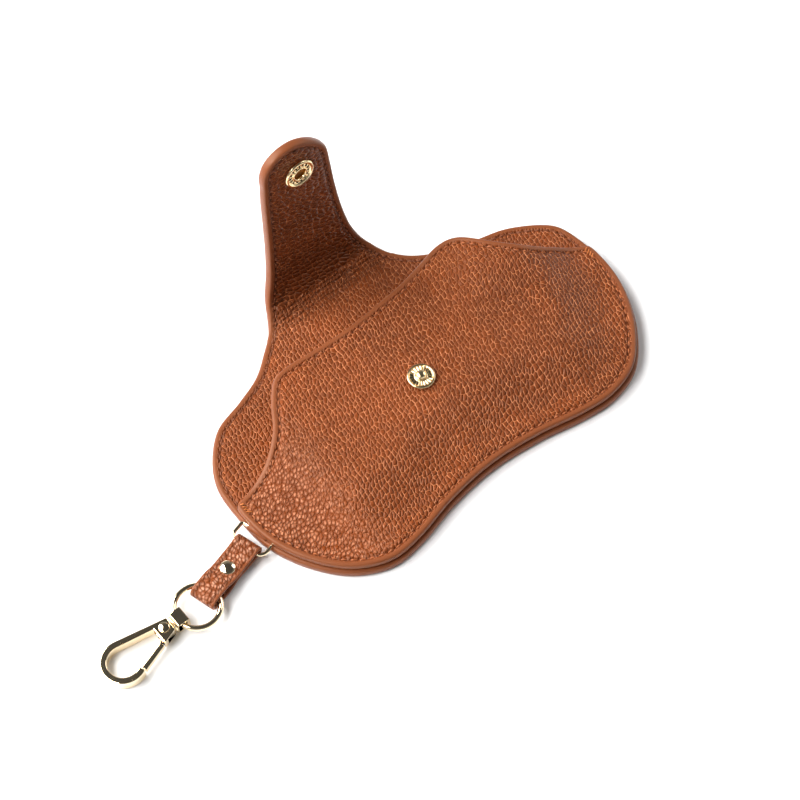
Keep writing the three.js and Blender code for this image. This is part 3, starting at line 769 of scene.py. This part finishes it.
def cad_copy(name, node, bevel=0.0, segments=3, clamp=True):
    """A piece with a CAD node's shape, welded, smoothed and with its edges eased.

    Without clamp the bevel keeps its full width, even where two edges lie closer than that.
    """
    source = frame["nodes"][node]
    mesh = source.data.copy()
    mesh.materials.clear()
    if "custom_normal" in mesh.attributes:
        mesh.attributes.remove(mesh.attributes["custom_normal"])
    piece = new_object(name, mesh)
    with editing(mesh) as b:
        bmesh.ops.remove_doubles(b, verts=b.verts, dist=5e-6)
        bmesh.ops.dissolve_limit(b, angle_limit=math.radians(1.0), verts=b.verts, edges=b.edges)
        bmesh.ops.recalc_face_normals(b, faces=b.faces)
    if bevel:
        ease = piece.modifiers.new("ease", "BEVEL")
        ease.width = bevel * MM
        ease.segments = segments
        ease.use_clamp_overlap = clamp
        ease.limit_method = "ANGLE"
        ease.angle_limit = math.radians(38)
    return sharpen(piece, 30)


# ---------------------------------------------------------------- snap
RIBS = 20  # round the stud
SEGMENTS = 15  # round the socket


def ribs(inner, outer, depth, count):
    """Radial ribs between two radii."""
    def relief(radius, angle):
        if not inner < radius < outer:
            return 0
        across = min(radius - inner, outer - radius)
        wave = 0.5 + 0.5 * math.cos(count * angle)
        return -depth * (1 - wave) * min(across / 0.25, 1)
    return relief


def make_stud(gold, steel):
    low, high = node_box("snap_stud")
    base, top = low[2], high[2]
    centre = node_centre("snap_stud")
    matrix = Matrix.Translation((centre[0] * MM, centre[1] * MM, 0))
    profile = [
        (0, top), (0.9, top - 0.06), (1.5, top - 0.35), (1.8, top - 0.85), (1.72, top - 1.25),
        (1.5, top - 1.6), (1.65, base + 0.7), (2.1, base + 0.72), (2.3, base + 0.66), (4.2, base + 0.72),
        (4.4, base + 0.98), (4.9, base + 0.95), (5.2, base + 0.6), (5.15, base), (3, base - 0.3),
        (0, base - 0.3),
    ]
    stud = lathe("snap_stud_face", profile, matrix, RIBS * 8, ribs(2.3, 4.25, 0.3, RIBS), depth=0.3)
    finish_piece(stud, gold, "case", ["snap_stud"])
    rivet = cad_copy("snap_stud_back", "snap_stud_rivet", 0.12)
    finish_piece(rivet, steel, "case", ["snap_stud_rivet"])


def make_socket(gold, steel, brass):
    matrix = snap_matrix(FLAP_THICK / 2)
    profile = [
        (2.3, -0.3), (2.3, 1.0), (2.45, 1.4), (2.75, 1.5), (3.05, 1.35), (3.15, 1.0), (4.6, 0.95),
        (4.8, 1.25), (5.2, 1.6), (5.65, 1.5), (6.0, 1.05), (6.0, 0.5), (5.7, 0.1), (5.6, -0.3),
    ]
    relief = ribs(3.2, 4.6, 0.45, SEGMENTS)
    socket = lathe("snap_socket_face", profile, matrix, SEGMENTS * 14, relief, depth=0.4)
    finish_piece(socket, gold, "flap", ["snap_socket"])
    floor = lathe("snap_socket_floor", [(0, 0.05), (2.6, 0.05), (2.6, -0.3), (0, -0.3)], matrix, 48)
    finish_piece(floor, brass, "flap")
    spring = cad_copy("snap_spring", "snap_ring_spring")
    finish_piece(spring, steel, "flap", ["snap_ring_spring"])


def make_cap(gold):
    matrix = snap_matrix(-FLAP_THICK / 2)
    profile = [
        (0, -1.6), (2.0, -1.54), (3.8, -1.3), (5.1, -0.9), (5.8, -0.45), (6.0, -0.1), (5.8, 0.3), (0, 0.3),
    ]
    cap = lathe("snap_cap_face", profile, matrix, 96)
    finish_piece(cap, gold, "flap", ["snap_cap"])


# ---------------------------------------------------------------- strap, rings and clasp
BAR_AT = joint("d_ring_swing")[0]
STRAP_AT = joint("strap_swing")[0]
RING_RADIUS, RING_WIRE = 8.0, 1.0
# The drawn ring's radius grows by the first, it lies further from the case by the second (below 0 is
# nearer), and its wire's radius grows by the third.
RING_EASE, RING_SHIFT, RING_SWELL = 0.1, -0.1, 0.05
HOOK_HALF = 2.2  # half the clasp's thickness
D_HALF, D_ROOT, D_BOW, D_WIRE = 7.0, 1.0, 3.0, 0.7
STRAP_WIDTH, STRAP_LAYER, STRAP_HALF = 10.0, 1.3, 1.45
LOOP_NEAR, LOOP_FAR = 0.95, 1.62  # inner radii of the strap's loops round the D-ring and the O-ring
STRAP_EASING = 0.45  # radius of the strap's edges
STRAP_GRAIN_AT = 140  # where the strap's grain starts, well away from the panels' grain


def flat_unit(vector):
    return unit((vector[0], vector[1], 0))


# The rings lie level and the strap runs between them.
RING_OUT = flat_unit(STRAP_AT - BAR_AT)
RING_SIDE = np.cross(UP, RING_OUT)
RING_CENTRE = node_centre("o_ring")
STRAP_END = RING_CENTRE - RING_OUT * RING_RADIUS
STRAP_ALONG = unit(STRAP_END - STRAP_AT)
STRAP_UP = np.cross(STRAP_ALONG, unit(np.cross(UP, STRAP_ALONG)))
STRAP_RUN = np.linalg.norm(STRAP_END - STRAP_AT)


def arc(x, y, radius, start, end, step=7.5):
    count = max(int(abs(end - start) / step), 2)
    turns = np.radians(np.linspace(start, end, count + 1))
    return [(x + radius * math.cos(a), y + radius * math.sin(a)) for a in turns]


def make_d_ring(gold):
    depth = np.dot(STRAP_AT - BAR_AT, RING_OUT)
    flat = arc(depth - D_BOW, D_HALF - D_BOW, D_BOW, 0, 90)
    flat += arc(D_ROOT, D_HALF - D_ROOT, D_ROOT, 90, 180)
    flat += arc(D_ROOT, D_ROOT - D_HALF, D_ROOT, 180, 270)
    flat += arc(depth - D_BOW, D_BOW - D_HALF, D_BOW, 270, 360)
    path = [BAR_AT + x * RING_OUT + y * RING_SIDE for x, y in flat]
    ring = ring_wire("d_ring_wire", path, D_WIRE, UP)
    finish_piece(ring, gold, "d_ring", ["d_ring"])


def make_o_ring(gold):
    centre = RING_CENTRE + RING_SHIFT * RING_OUT
    path = [centre + (RING_RADIUS + RING_EASE) * np.array([math.cos(a), math.sin(a), 0])
            for a in np.linspace(0, 2 * math.pi, 144, endpoint=False)]
    ring = ring_wire("o_ring_wire", path, RING_WIRE + RING_SWELL, UP)
    finish_piece(ring, gold, "o_ring", ["o_ring"])


def strap_path():
    """Middle line of the strap's leather in side view: (along, up) points of a closed loop."""
    near, far = LOOP_NEAR + STRAP_LAYER / 2, LOOP_FAR + STRAP_LAYER / 2
    flat = STRAP_HALF - STRAP_LAYER / 2
    far_at = STRAP_RUN + 2.8
    upper = [(4.4, flat), (7, flat), (11, flat + 0.05), (STRAP_RUN - 6, flat + 0.3),
             (STRAP_RUN - 3, far * 0.97), (STRAP_RUN - 0.6, far + 0.05)]
    lower = [(STRAP_RUN - 0.6, -far), (STRAP_RUN - 3, -far - 0.15), (STRAP_RUN - 5.5, -flat - 1.25),
             (STRAP_RUN - 7.8, -flat - 0.35), (9.6, -flat), (6.5, -flat - 0.55), (3.4, -flat - 0.6)]
    path = upper + arc(far_at, 0, far, 88, -88, 12) + lower
    path += arc(-0.7, 0, near, 272, 88, 14)
    path = resample(soften(resample(catmull(path, closed=True), 0.25), 6), 0.35)
    underside = np.linalg.norm(path - np.array((9.6, -flat)), axis=1).argmin()
    return np.roll(path, -underside, axis=0)


def strap_section():
    """The leather's cross-section: (across, through) points round a rounded rectangle."""
    x_arc, y_arc = STRAP_WIDTH / 2 - STRAP_EASING, STRAP_LAYER / 2 - STRAP_EASING
    section = []
    for cx, cy, start in ((1, 1, 0), (-1, 1, 90), (-1, -1, 180), (1, -1, 270)):
        section += arc(cx * x_arc, cy * y_arc, STRAP_EASING, start, start + 90, 22.5)
        if start in (0, 180):
            shares = np.linspace(0, 1, 14)[1:-1]
            section += [(cx * x_arc * (1 - 2 * share), cy * STRAP_LAYER / 2) for share in shares]
    return section


def make_strap(leather):
    path = strap_path()
    t = tangents(path)
    out = np.column_stack([-t[:, 1], t[:, 0]])
    across = np.cross(STRAP_UP, STRAP_ALONG)
    section = strap_section()
    along = lengths_along(path, True)[:-1]
    points, flat, edge = [], [], []
    for run, p, n in zip(along, path, out):
        for x, y in section:
            q = p + n * y
            points.append(STRAP_AT + q[0] * STRAP_ALONG + q[1] * STRAP_UP + x * across)
            flat.append((x + STRAP_GRAIN_AT, run, y))
            edge.append(STRAP_WIDTH / 2 - abs(x) + 1.2)
    faces = tube_faces(len(path), len(section), closed=True)
    strap = make_mesh("strap_band", points, faces, flat=flat, edge=edge)
    with editing(strap.data) as b:
        bmesh.ops.recalc_face_normals(b, faces=b.faces)
    finish_piece(strap, leather, "strap", ["strap_leather"])


def make_strap_rivet(gold):
    across = np.cross(STRAP_UP, STRAP_ALONG)
    along = np.dot(node_centre("strap_rivet_cap") - STRAP_AT, STRAP_ALONG)
    profile = [(0, 1.15), (1.2, 1.05), (2.1, 0.75), (2.7, 0.35), (2.85, 0.1), (2.85, -0.15), (0, -0.15)]
    for half, sign in (("cap", 1), ("back", -1)):
        origin = STRAP_AT + along * STRAP_ALONG + sign * STRAP_HALF * STRAP_UP
        matrix = matrix_of(STRAP_ALONG, sign * across, sign * STRAP_UP, origin)
        rivet = lathe(f"rivet_{half}_face", profile, matrix, 64, corner=0.3)
        finish_piece(rivet, gold, "strap", [f"strap_rivet_{half}"])


def make_tab(leather):
    tab = cad_copy("ring_tab_leather", "ring_tab", 0.12)
    finish_piece(tab, leather, "case", ["ring_tab"])


def make_pin_heads(gold):
    """Domed heads with a punched middle, on both faces of the hook."""
    at, axis = joint("gate_hinge")
    axis = unit(axis) * math.copysign(1, axis[2])
    along = unit(np.cross((0, 1, 0), axis))
    profile = [
        (0, 0.3), (0.35, 0.34), (0.6, 0.55), (1.0, 0.62), (1.5, 0.46), (1.85, 0.15), (1.9, -0.2), (0, -0.2),
    ]
    for name, sign in (("gate_pin_top", 1), ("gate_pin_bottom", -1)):
        origin = at + sign * HOOK_HALF * axis
        matrix = matrix_of(along, sign * np.cross(axis, along), sign * axis, origin)
        head = lathe(name, profile, matrix, 64, corner=0.2)
        finish_piece(head, gold, "hook")


def make_clasp(gold, steel):
    swivel = cad_copy("swivel_block", "swivel_eye", 0.4, 4, clamp=False)
    finish_piece(swivel, gold, "swivel", ["swivel_eye"])
    hook = cad_copy("hook_bow", "hook_body", 0.42, 4, clamp=False)
    finish_piece(hook, gold, "hook", ["hook_body"])
    pin = cad_copy("gate_pin_shank", "gate_pin", 0.1)
    finish_piece(pin, gold, "hook", ["gate_pin"])
    make_pin_heads(gold)
    spring = cad_copy("gate_spring_coil", "gate_spring")
    finish_piece(spring, steel, "hook", ["gate_spring"])
    gate = cad_copy("gate_bar", "gate_lever", 0.35)
    finish_piece(gate, gold, "gate", ["gate_lever"])


# ---------------------------------------------------------------- materials
def linear(red, green, blue):
    """A colour given as 0-255 screen values, for a shader."""
    channels = [c / 255 for c in (red, green, blue)]
    return tuple(c / 12.92 if c <= 0.04045 else ((c + 0.055) / 1.055) ** 2.4 for c in channels) + (1.0,)


# A grain's cell width and length in millimetres, its lean from Y in degrees, its skew and its randomness.
FINE_GRAIN = (1.55, 2.05, -8.5, 0.33, 0.62)
TUMBLED_GRAIN = (1.3, 1.6, -20, 0.2, 0.85)
FLAP_GRAIN = (1.9, 2.7, 80, 0.15, 0.8)
GRAIN_WARP = 3.0  # how far slow noise bends the rows of cells, in millimetres
TUMBLED_FROM, TUMBLED_FULL = -36.0, -66.0  # the x range over which the left lobe's pebbles take over
BUMP_DEPTH = 0.00036
LEATHER_SHINE = 0.27
LEATHER_GLOSS = (1.0, 0.82, 0.64, 1.0)  # the tint of the leather's gloss
# Screen colours of the leather's body, its deep tone (also used as painted shade in creases and the stitch
# groove), painted highlights on grain lines, painted highlights on pebble tops, and rims.
LEATHER_COLOURS = (
    linear(127, 59, 22), linear(68, 28, 9), linear(228, 142, 92), linear(228, 152, 112),
    linear(127, 72, 44),
)
# The flap's colours are darker, as painted shade for the flap standing in shadow, and its grain lies across
# it.
FLAP_SHADED_COLOURS = (
    linear(110, 48, 15), linear(54, 22, 7), linear(200, 118, 70), linear(190, 120, 80),
    linear(127, 72, 44),
)
# The strap's painted highlights on its pebble tops are paler.
STRAP_COLOURS = (
    linear(132, 64, 28), linear(72, 31, 11), linear(228, 142, 92), linear(246, 182, 148),
    linear(130, 74, 46),
)
# Painted shade for the hollows of turned metal pieces, such as between the snap's ribs.
RECESS_SHADE_COLOUR = linear(62, 40, 16)


class Nodes:
    """A short way to add nodes and links to a material."""

    def __init__(self, name):
        self.material = bpy.data.materials.new(name)
        self.material.use_nodes = True
        self.tree = self.material.node_tree
        self.shader = self.tree.nodes["Principled BSDF"]

    def add(self, kind, **values):
        """A new node. Each value is a property, an input's name, or iN for input number N."""
        node = self.tree.nodes.new(kind)
        for key, value in values.items():
            if hasattr(node, key):
                setattr(node, key, value)
            else:
                self.set(node, key, value)
        return node

    def set(self, node, key, value):
        numbered = key.startswith("i") and key[1:].isdigit()
        socket = node.inputs[int(key[1:]) if numbered else key]
        if isinstance(value, bpy.types.NodeSocket):
            self.tree.links.new(value, socket)
        else:
            socket.default_value = value

    def surface(self, **values):
        """Sets the shader's own inputs, with spaces written as underscores."""
        for key, value in values.items():
            self.set(self.shader, key.replace("_", " "), value)

    def attribute(self, name, output="Fac"):
        return self.add("ShaderNodeAttribute", attribute_name=name).outputs[output]

    def noise(self, where, scale, detail, output="Fac"):
        return self.add("ShaderNodeTexNoise", Vector=where, Scale=scale, Detail=detail).outputs[output]

    def math(self, operation, first, second):
        return self.add("ShaderNodeMath", operation=operation, i0=first, i1=second).outputs[0]

    def vector(self, operation, first, **values):
        return self.add("ShaderNodeVectorMath", operation=operation, i0=first, **values).outputs[0]

    def times(self, first, *others):
        for other in others:
            first = self.math("MULTIPLY", first, other)
        return first

    def invert(self, value):
        return self.math("SUBTRACT", 1.0, value)

    def ramp(self, factor, low, high, bottom=0.0, top=1.0):
        node = self.add("ShaderNodeMapRange", interpolation_type="SMOOTHSTEP")
        values = {"Value": factor, "From Min": low, "From Max": high, "To Min": bottom, "To Max": top}
        for key, value in values.items():
            self.set(node, key, value)
        return node.outputs["Result"]

    def mix(self, factor, first, second):
        return self.add("ShaderNodeMix", data_type="RGBA", i0=factor, i6=first, i7=second).outputs[2]

    def blend(self, factor, first, second):
        return self.add("ShaderNodeMix", data_type="FLOAT", i0=factor, i2=first, i3=second).outputs[0]

    def bump(self, height, distance, strength):
        node = self.add("ShaderNodeBump", Height=height, Distance=distance, Strength=strength)
        return node.outputs["Normal"]


def grain_cells(n, where, width, length, lean, skew, randomness):
    """Cells of a leather grain.

    Gives each point's distances to the nearest crease and to the pebble's middle, the pebble's own tone,
    and how far the nearest crease is a lengthwise one.
    """
    turned = n.add("ShaderNodeMapping", vector_type="TEXTURE", Vector=where, Scale=(width, length, 1),
                   Rotation=(0, 0, math.radians(lean)))
    split = n.add("ShaderNodeSeparateXYZ", i0=turned.outputs[0])
    skewed = n.math("SUBTRACT", split.outputs[1], n.times(split.outputs[0], skew))
    cell_at = n.add("ShaderNodeCombineXYZ", i0=split.outputs[0], i1=skewed).outputs[0]
    borders, middles = [
        n.add("ShaderNodeTexVoronoi", voronoi_dimensions="2D", feature=feature, Vector=cell_at, Scale=1.0,
              Randomness=randomness)
        for feature in ("DISTANCE_TO_EDGE", "F1")
    ]
    tone = n.add("ShaderNodeSeparateColor", i0=middles.outputs["Color"]).outputs[0]
    offset = n.vector("ABSOLUTE", n.vector("SUBTRACT", cell_at, i1=middles.outputs["Position"]))
    split = n.add("ShaderNodeSeparateXYZ", i0=offset)
    sideways = n.ramp(n.math("SUBTRACT", split.outputs[0], split.outputs[1]), -0.12, 0.12)
    return borders.outputs["Distance"], middles.outputs["Distance"], tone, sideways


def leather_material(name, colours, tumbled=None, grain=FINE_GRAIN):
    """Pebbled leather: long cells of the grain, and round tumbled pebbles by the share tumbled.

    With no share given, the tumbled pebbles are on the left lobe.
    """
    n = Nodes(name)
    body, deep_tone_and_shade, line_highlight, top_highlight, rim_colour = colours
    flat = n.attribute("flat", "Vector")
    edge_gap = n.attribute("edge")
    rim = n.ramp(edge_gap, STITCH_INSET - 0.5, STITCH_INSET - 1.0)
    # Painted shade along the stitch groove.
    groove = n.times(n.ramp(edge_gap, STITCH_INSET - 0.6, STITCH_INSET - 0.1),
                     n.ramp(edge_gap, STITCH_INSET + 0.8, STITCH_INSET + 0.2))
    grained = n.invert(rim)
    if tumbled is None:
        across = n.add("ShaderNodeSeparateXYZ", i0=flat).outputs[0]
        tumbled = n.ramp(across, TUMBLED_FROM, TUMBLED_FULL)
    warp = n.vector("SCALE", n.noise(flat, 0.09, 1.0, "Color"), Scale=GRAIN_WARP)
    bent = n.vector("ADD", flat, i1=warp)
    pores = n.noise(flat, 4.5, 3.0)
    edge, middle, tone, sideways = grain_cells(n, bent, *grain)
    edge_big, middle_big, tone_big, _ = grain_cells(n, bent, *TUMBLED_GRAIN)

    furrow = n.times(n.invert(n.ramp(edge, 0.0, 0.27)), n.math("ADD", n.times(sideways, 0.3), 0.7))
    fine = n.math("SUBTRACT", 0.9, n.math("ADD", furrow, n.times(middle, 0.85)))
    round_top = n.math("SUBTRACT", n.ramp(edge_big, 0.0, 0.3), n.times(middle_big, 1.1))
    pebble = n.blend(tumbled, fine, n.times(round_top, 0.6))
    height = n.math("ADD", n.times(pebble, grained), n.times(pores, 0.12))

    # Painted highlights along the grain's cell edges, stronger on lengthwise edges and patchy.
    lengthwise = n.math("ADD", n.times(sideways, 0.55), 0.45)
    glints = n.ramp(n.noise(flat, 0.5, 2.0), 0.4, 0.62, 0.2, 0.9)
    line = n.times(n.invert(n.ramp(edge, 0.02, 0.11)), glints, lengthwise, grained, n.invert(tumbled))
    # Painted shade in the creases between tumbled pebbles.
    crease = n.times(n.invert(n.ramp(edge_big, 0.02, 0.14)), grained, tumbled)
    # Painted highlights on the tumbled pebbles' tops.
    top = n.times(n.invert(n.ramp(middle_big, 0.1, 0.55)), tone_big, grained, tumbled)
    colour = n.mix(n.ramp(n.noise(flat, 0.05, 3.0), 0.35, 0.65, 0.0, 0.3), body, deep_tone_and_shade)
    # Over the mottled body: random cell tone, painted highlight lines, painted shade between tumbled pebbles,
    # painted highlights on pebble tops, painted shade in the fold's creases and in the stitch groove, then
    # the rim's own colour.
    layers = [
        (n.times(tone, 0.25), deep_tone_and_shade), (line, line_highlight), (n.times(crease, 0.15), deep_tone_and_shade), (n.times(top, 0.6), top_highlight),
        (n.times(n.attribute("crease"), 0.7), deep_tone_and_shade), (n.times(groove, 0.5), deep_tone_and_shade),
        (n.times(rim, 0.8), rim_colour),
    ]
    for share, layer in layers:
        colour = n.mix(share, colour, layer)

    worn = n.times(n.math("MAXIMUM", rim, tumbled), 0.07)
    rough = n.math("SUBTRACT", n.math("ADD", n.times(pores, 0.2), 0.31), worn)
    n.surface(Base_Color=colour, Roughness=rough, Normal=n.bump(height, BUMP_DEPTH, 1.0))
    n.surface(Specular_IOR_Level=LEATHER_SHINE, Specular_Tint=LEATHER_GLOSS)
    return n.material


def thread_material(name, dark, light):
    """Twisted waxed thread."""
    n = Nodes(name)
    where = n.add("ShaderNodeTexCoord").outputs["Object"]
    strands = n.add("ShaderNodeTexWave", wave_type="BANDS", bands_direction="DIAGONAL", Vector=where,
                    Scale=900.0, Distortion=1.5).outputs["Fac"]
    n.surface(Base_Color=n.mix(strands, dark, light), Normal=n.bump(strands, 0.00008, 0.7), Roughness=0.6)
    return n.material


def metal_material(name, colour, dull, roughness):
    """Plated metal with dull patches and fine scratches, and painted shade where a turned piece is recessed.
    """
    n = Nodes(name)
    where = n.add("ShaderNodeTexCoord").outputs["Object"]
    worn = n.ramp(n.noise(where, 380.0, 4.0), 0.45, 0.75)
    # painted shade in a turned piece's recesses
    recess = n.ramp(n.attribute("recess"), 0.2, 0.8, 0.0, 0.92)
    shade = n.mix(n.times(worn, 0.4), colour, dull)
    rough = n.math("ADD", n.times(worn, 0.04), roughness)
    scratches = n.bump(n.noise(where, 2600.0, 2.0), 0.00001, 0.25)
    n.surface(Base_Color=n.mix(recess, shade, RECESS_SHADE_COLOUR), Roughness=rough, Normal=scratches, Metallic=1.0)
    return n.material


def floor_material():
    n = Nodes("studio_floor")
    where = n.add("ShaderNodeTexCoord").outputs["Object"]
    tone = n.mix(n.noise(where, 1.5, 2.0), (0.93, 0.93, 0.93, 1), (0.96, 0.96, 0.96, 1))
    n.surface(Base_Color=tone, Roughness=0.9)
    return n.material


# ---------------------------------------------------------------- studio
CAMERA_AIM = (-7.5, 3.0, 0.0)
CAMERA_AWAY, CAMERA_UP, CAMERA_HEADING, CAMERA_ROLL = 899.0, 60.0, 36.87, 2.0
CAMERA_LENS = 112.5
FLOOR_REACH = 3
LIGHTS = {  # position in metres, size and power
    "key": ((-0.72, 0.85, 0.95), 1.5, 51),
    "left": ((-0.75, 0.05, 0.95), 0.45, 8),
    "side": ((1.1, 0.0, 0.75), 0.9, 5.5),
}
SKY_STRENGTH = 0.3
SKY_STOPS = ((0.25, 1.0), (0.8, 0.2))  # the sky's height and brightness


def make_camera():
    """A long lens that looks down at the case from over its floor, turned a little about its own axis."""
    up, heading, roll = (math.radians(v) for v in (CAMERA_UP, CAMERA_HEADING, CAMERA_ROLL))
    forward = np.array([math.sin(heading) * math.cos(up), math.cos(heading) * math.cos(up), -math.sin(up)])
    level = np.array([math.cos(heading), -math.sin(heading), 0])
    top = np.cross(level, forward)
    right = math.cos(roll) * level - math.sin(roll) * top
    top = np.cross(right, forward)
    data = bpy.data.cameras.new("camera")
    data.lens = CAMERA_LENS
    data.sensor_width = 36
    data.clip_start, data.clip_end = 0.01, 10
    camera = new_object("camera", data)
    camera.matrix_world = matrix_of(right, top, -forward, np.array(CAMERA_AIM) - forward * CAMERA_AWAY)
    bpy.context.scene.camera = camera


def area_light(name, position, size, power):
    data = bpy.data.lights.new(name, "AREA")
    data.shape = "DISK"
    data.size = size
    data.energy = power
    light = new_object(name, data)
    light.location = position
    light.rotation_euler = (-Vector(position)).to_track_quat("-Z", "Y").to_euler()


def make_floor():
    corners = [(-1, -1), (1, -1), (1, 1), (-1, 1)]
    mesh = bpy.data.meshes.new("floor")
    mesh.from_pydata([(x * FLOOR_REACH, y * FLOOR_REACH, 0) for x, y in corners], [], [(0, 1, 2, 3)])
    mesh.materials.append(floor_material())
    floor = new_object("floor", mesh)


def make_sky():
    """Soft light from all round, brighter at the horizon than overhead."""
    world = bpy.data.worlds.new("studio")
    world.use_nodes = True
    tree = world.node_tree
    where = tree.nodes.new("ShaderNodeTexCoord")
    split = tree.nodes.new("ShaderNodeSeparateXYZ")
    shade = tree.nodes.new("ShaderNodeValToRGB")
    for stop, (height, brightness) in zip(shade.color_ramp.elements, SKY_STOPS):
        stop.position = height
        stop.color = (brightness, brightness, brightness, 1)
    tree.links.new(where.outputs["Generated"], split.inputs[0])
    tree.links.new(split.outputs[2], shade.inputs[0])
    tree.links.new(shade.outputs[0], tree.nodes["Background"].inputs[0])
    tree.nodes["Background"].inputs[1].default_value = SKY_STRENGTH
    bpy.context.scene.world = world


def make_studio():
    make_floor()
    for name, (position, size, power) in LIGHTS.items():
        area_light(name, position, size, power)
    make_sky()
    bpy.context.scene.view_settings.view_transform = "Standard"


# ---------------------------------------------------------------- build
def build():
    leather = leather_material("pebbled_leather", LEATHER_COLOURS)
    back_leather = leather_material("back_leather_grain", LEATHER_COLOURS, tumbled=0.12)
    # The flap's leather is a darker copy that paints the flap's shade.
    shaded_flap_leather = leather_material("flap_leather_grain", FLAP_SHADED_COLOURS, tumbled=0.12, grain=FLAP_GRAIN)
    strap_leather = leather_material("strap_leather_grain", STRAP_COLOURS, tumbled=1.0)
    # One thread in three brightnesses: the dark one paints the shade on the back's and flap's stitches, the
    # tan one is the thread as lit on the front, and the brightest is on the mouth corners' stitches.
    thread = thread_material("waxed_thread_shaded", linear(96, 46, 20), linear(150, 82, 42))
    tan_thread = thread_material("tan_thread", linear(132, 66, 30), linear(196, 112, 60))
    bright_thread = thread_material("bright_thread", linear(170, 88, 34), linear(222, 132, 64))
    gold = metal_material("pale_gold", linear(253, 234, 198), linear(240, 214, 168), 0.08)
    steel = metal_material("spring_steel_wire", linear(190, 192, 196), linear(150, 150, 154), 0.22)
    satin = metal_material("satin_gold", linear(250, 226, 178), linear(236, 204, 150), 0.2)
    brass = metal_material("dull_brass", linear(150, 96, 40), linear(90, 54, 22), 0.4)
    back, flap = make_sheets(leather, back_leather, shaded_flap_leather)
    back_thread, flap_thread = make_stitching(thread, tan_thread, bright_thread)
    for piece, on_flap in ((back, False), (back_thread, False), (flap, True), (flap_thread, True)):
        bend_over_fold(piece)
    make_stud(satin, steel)
    make_socket(satin, steel, brass)
    make_cap(gold)
    make_d_ring(gold)
    make_tab(strap_leather)
    make_strap(strap_leather)
    make_strap_rivet(gold)
    make_o_ring(gold)
    make_clasp(gold, steel)


make_camera()
build()
make_studio()
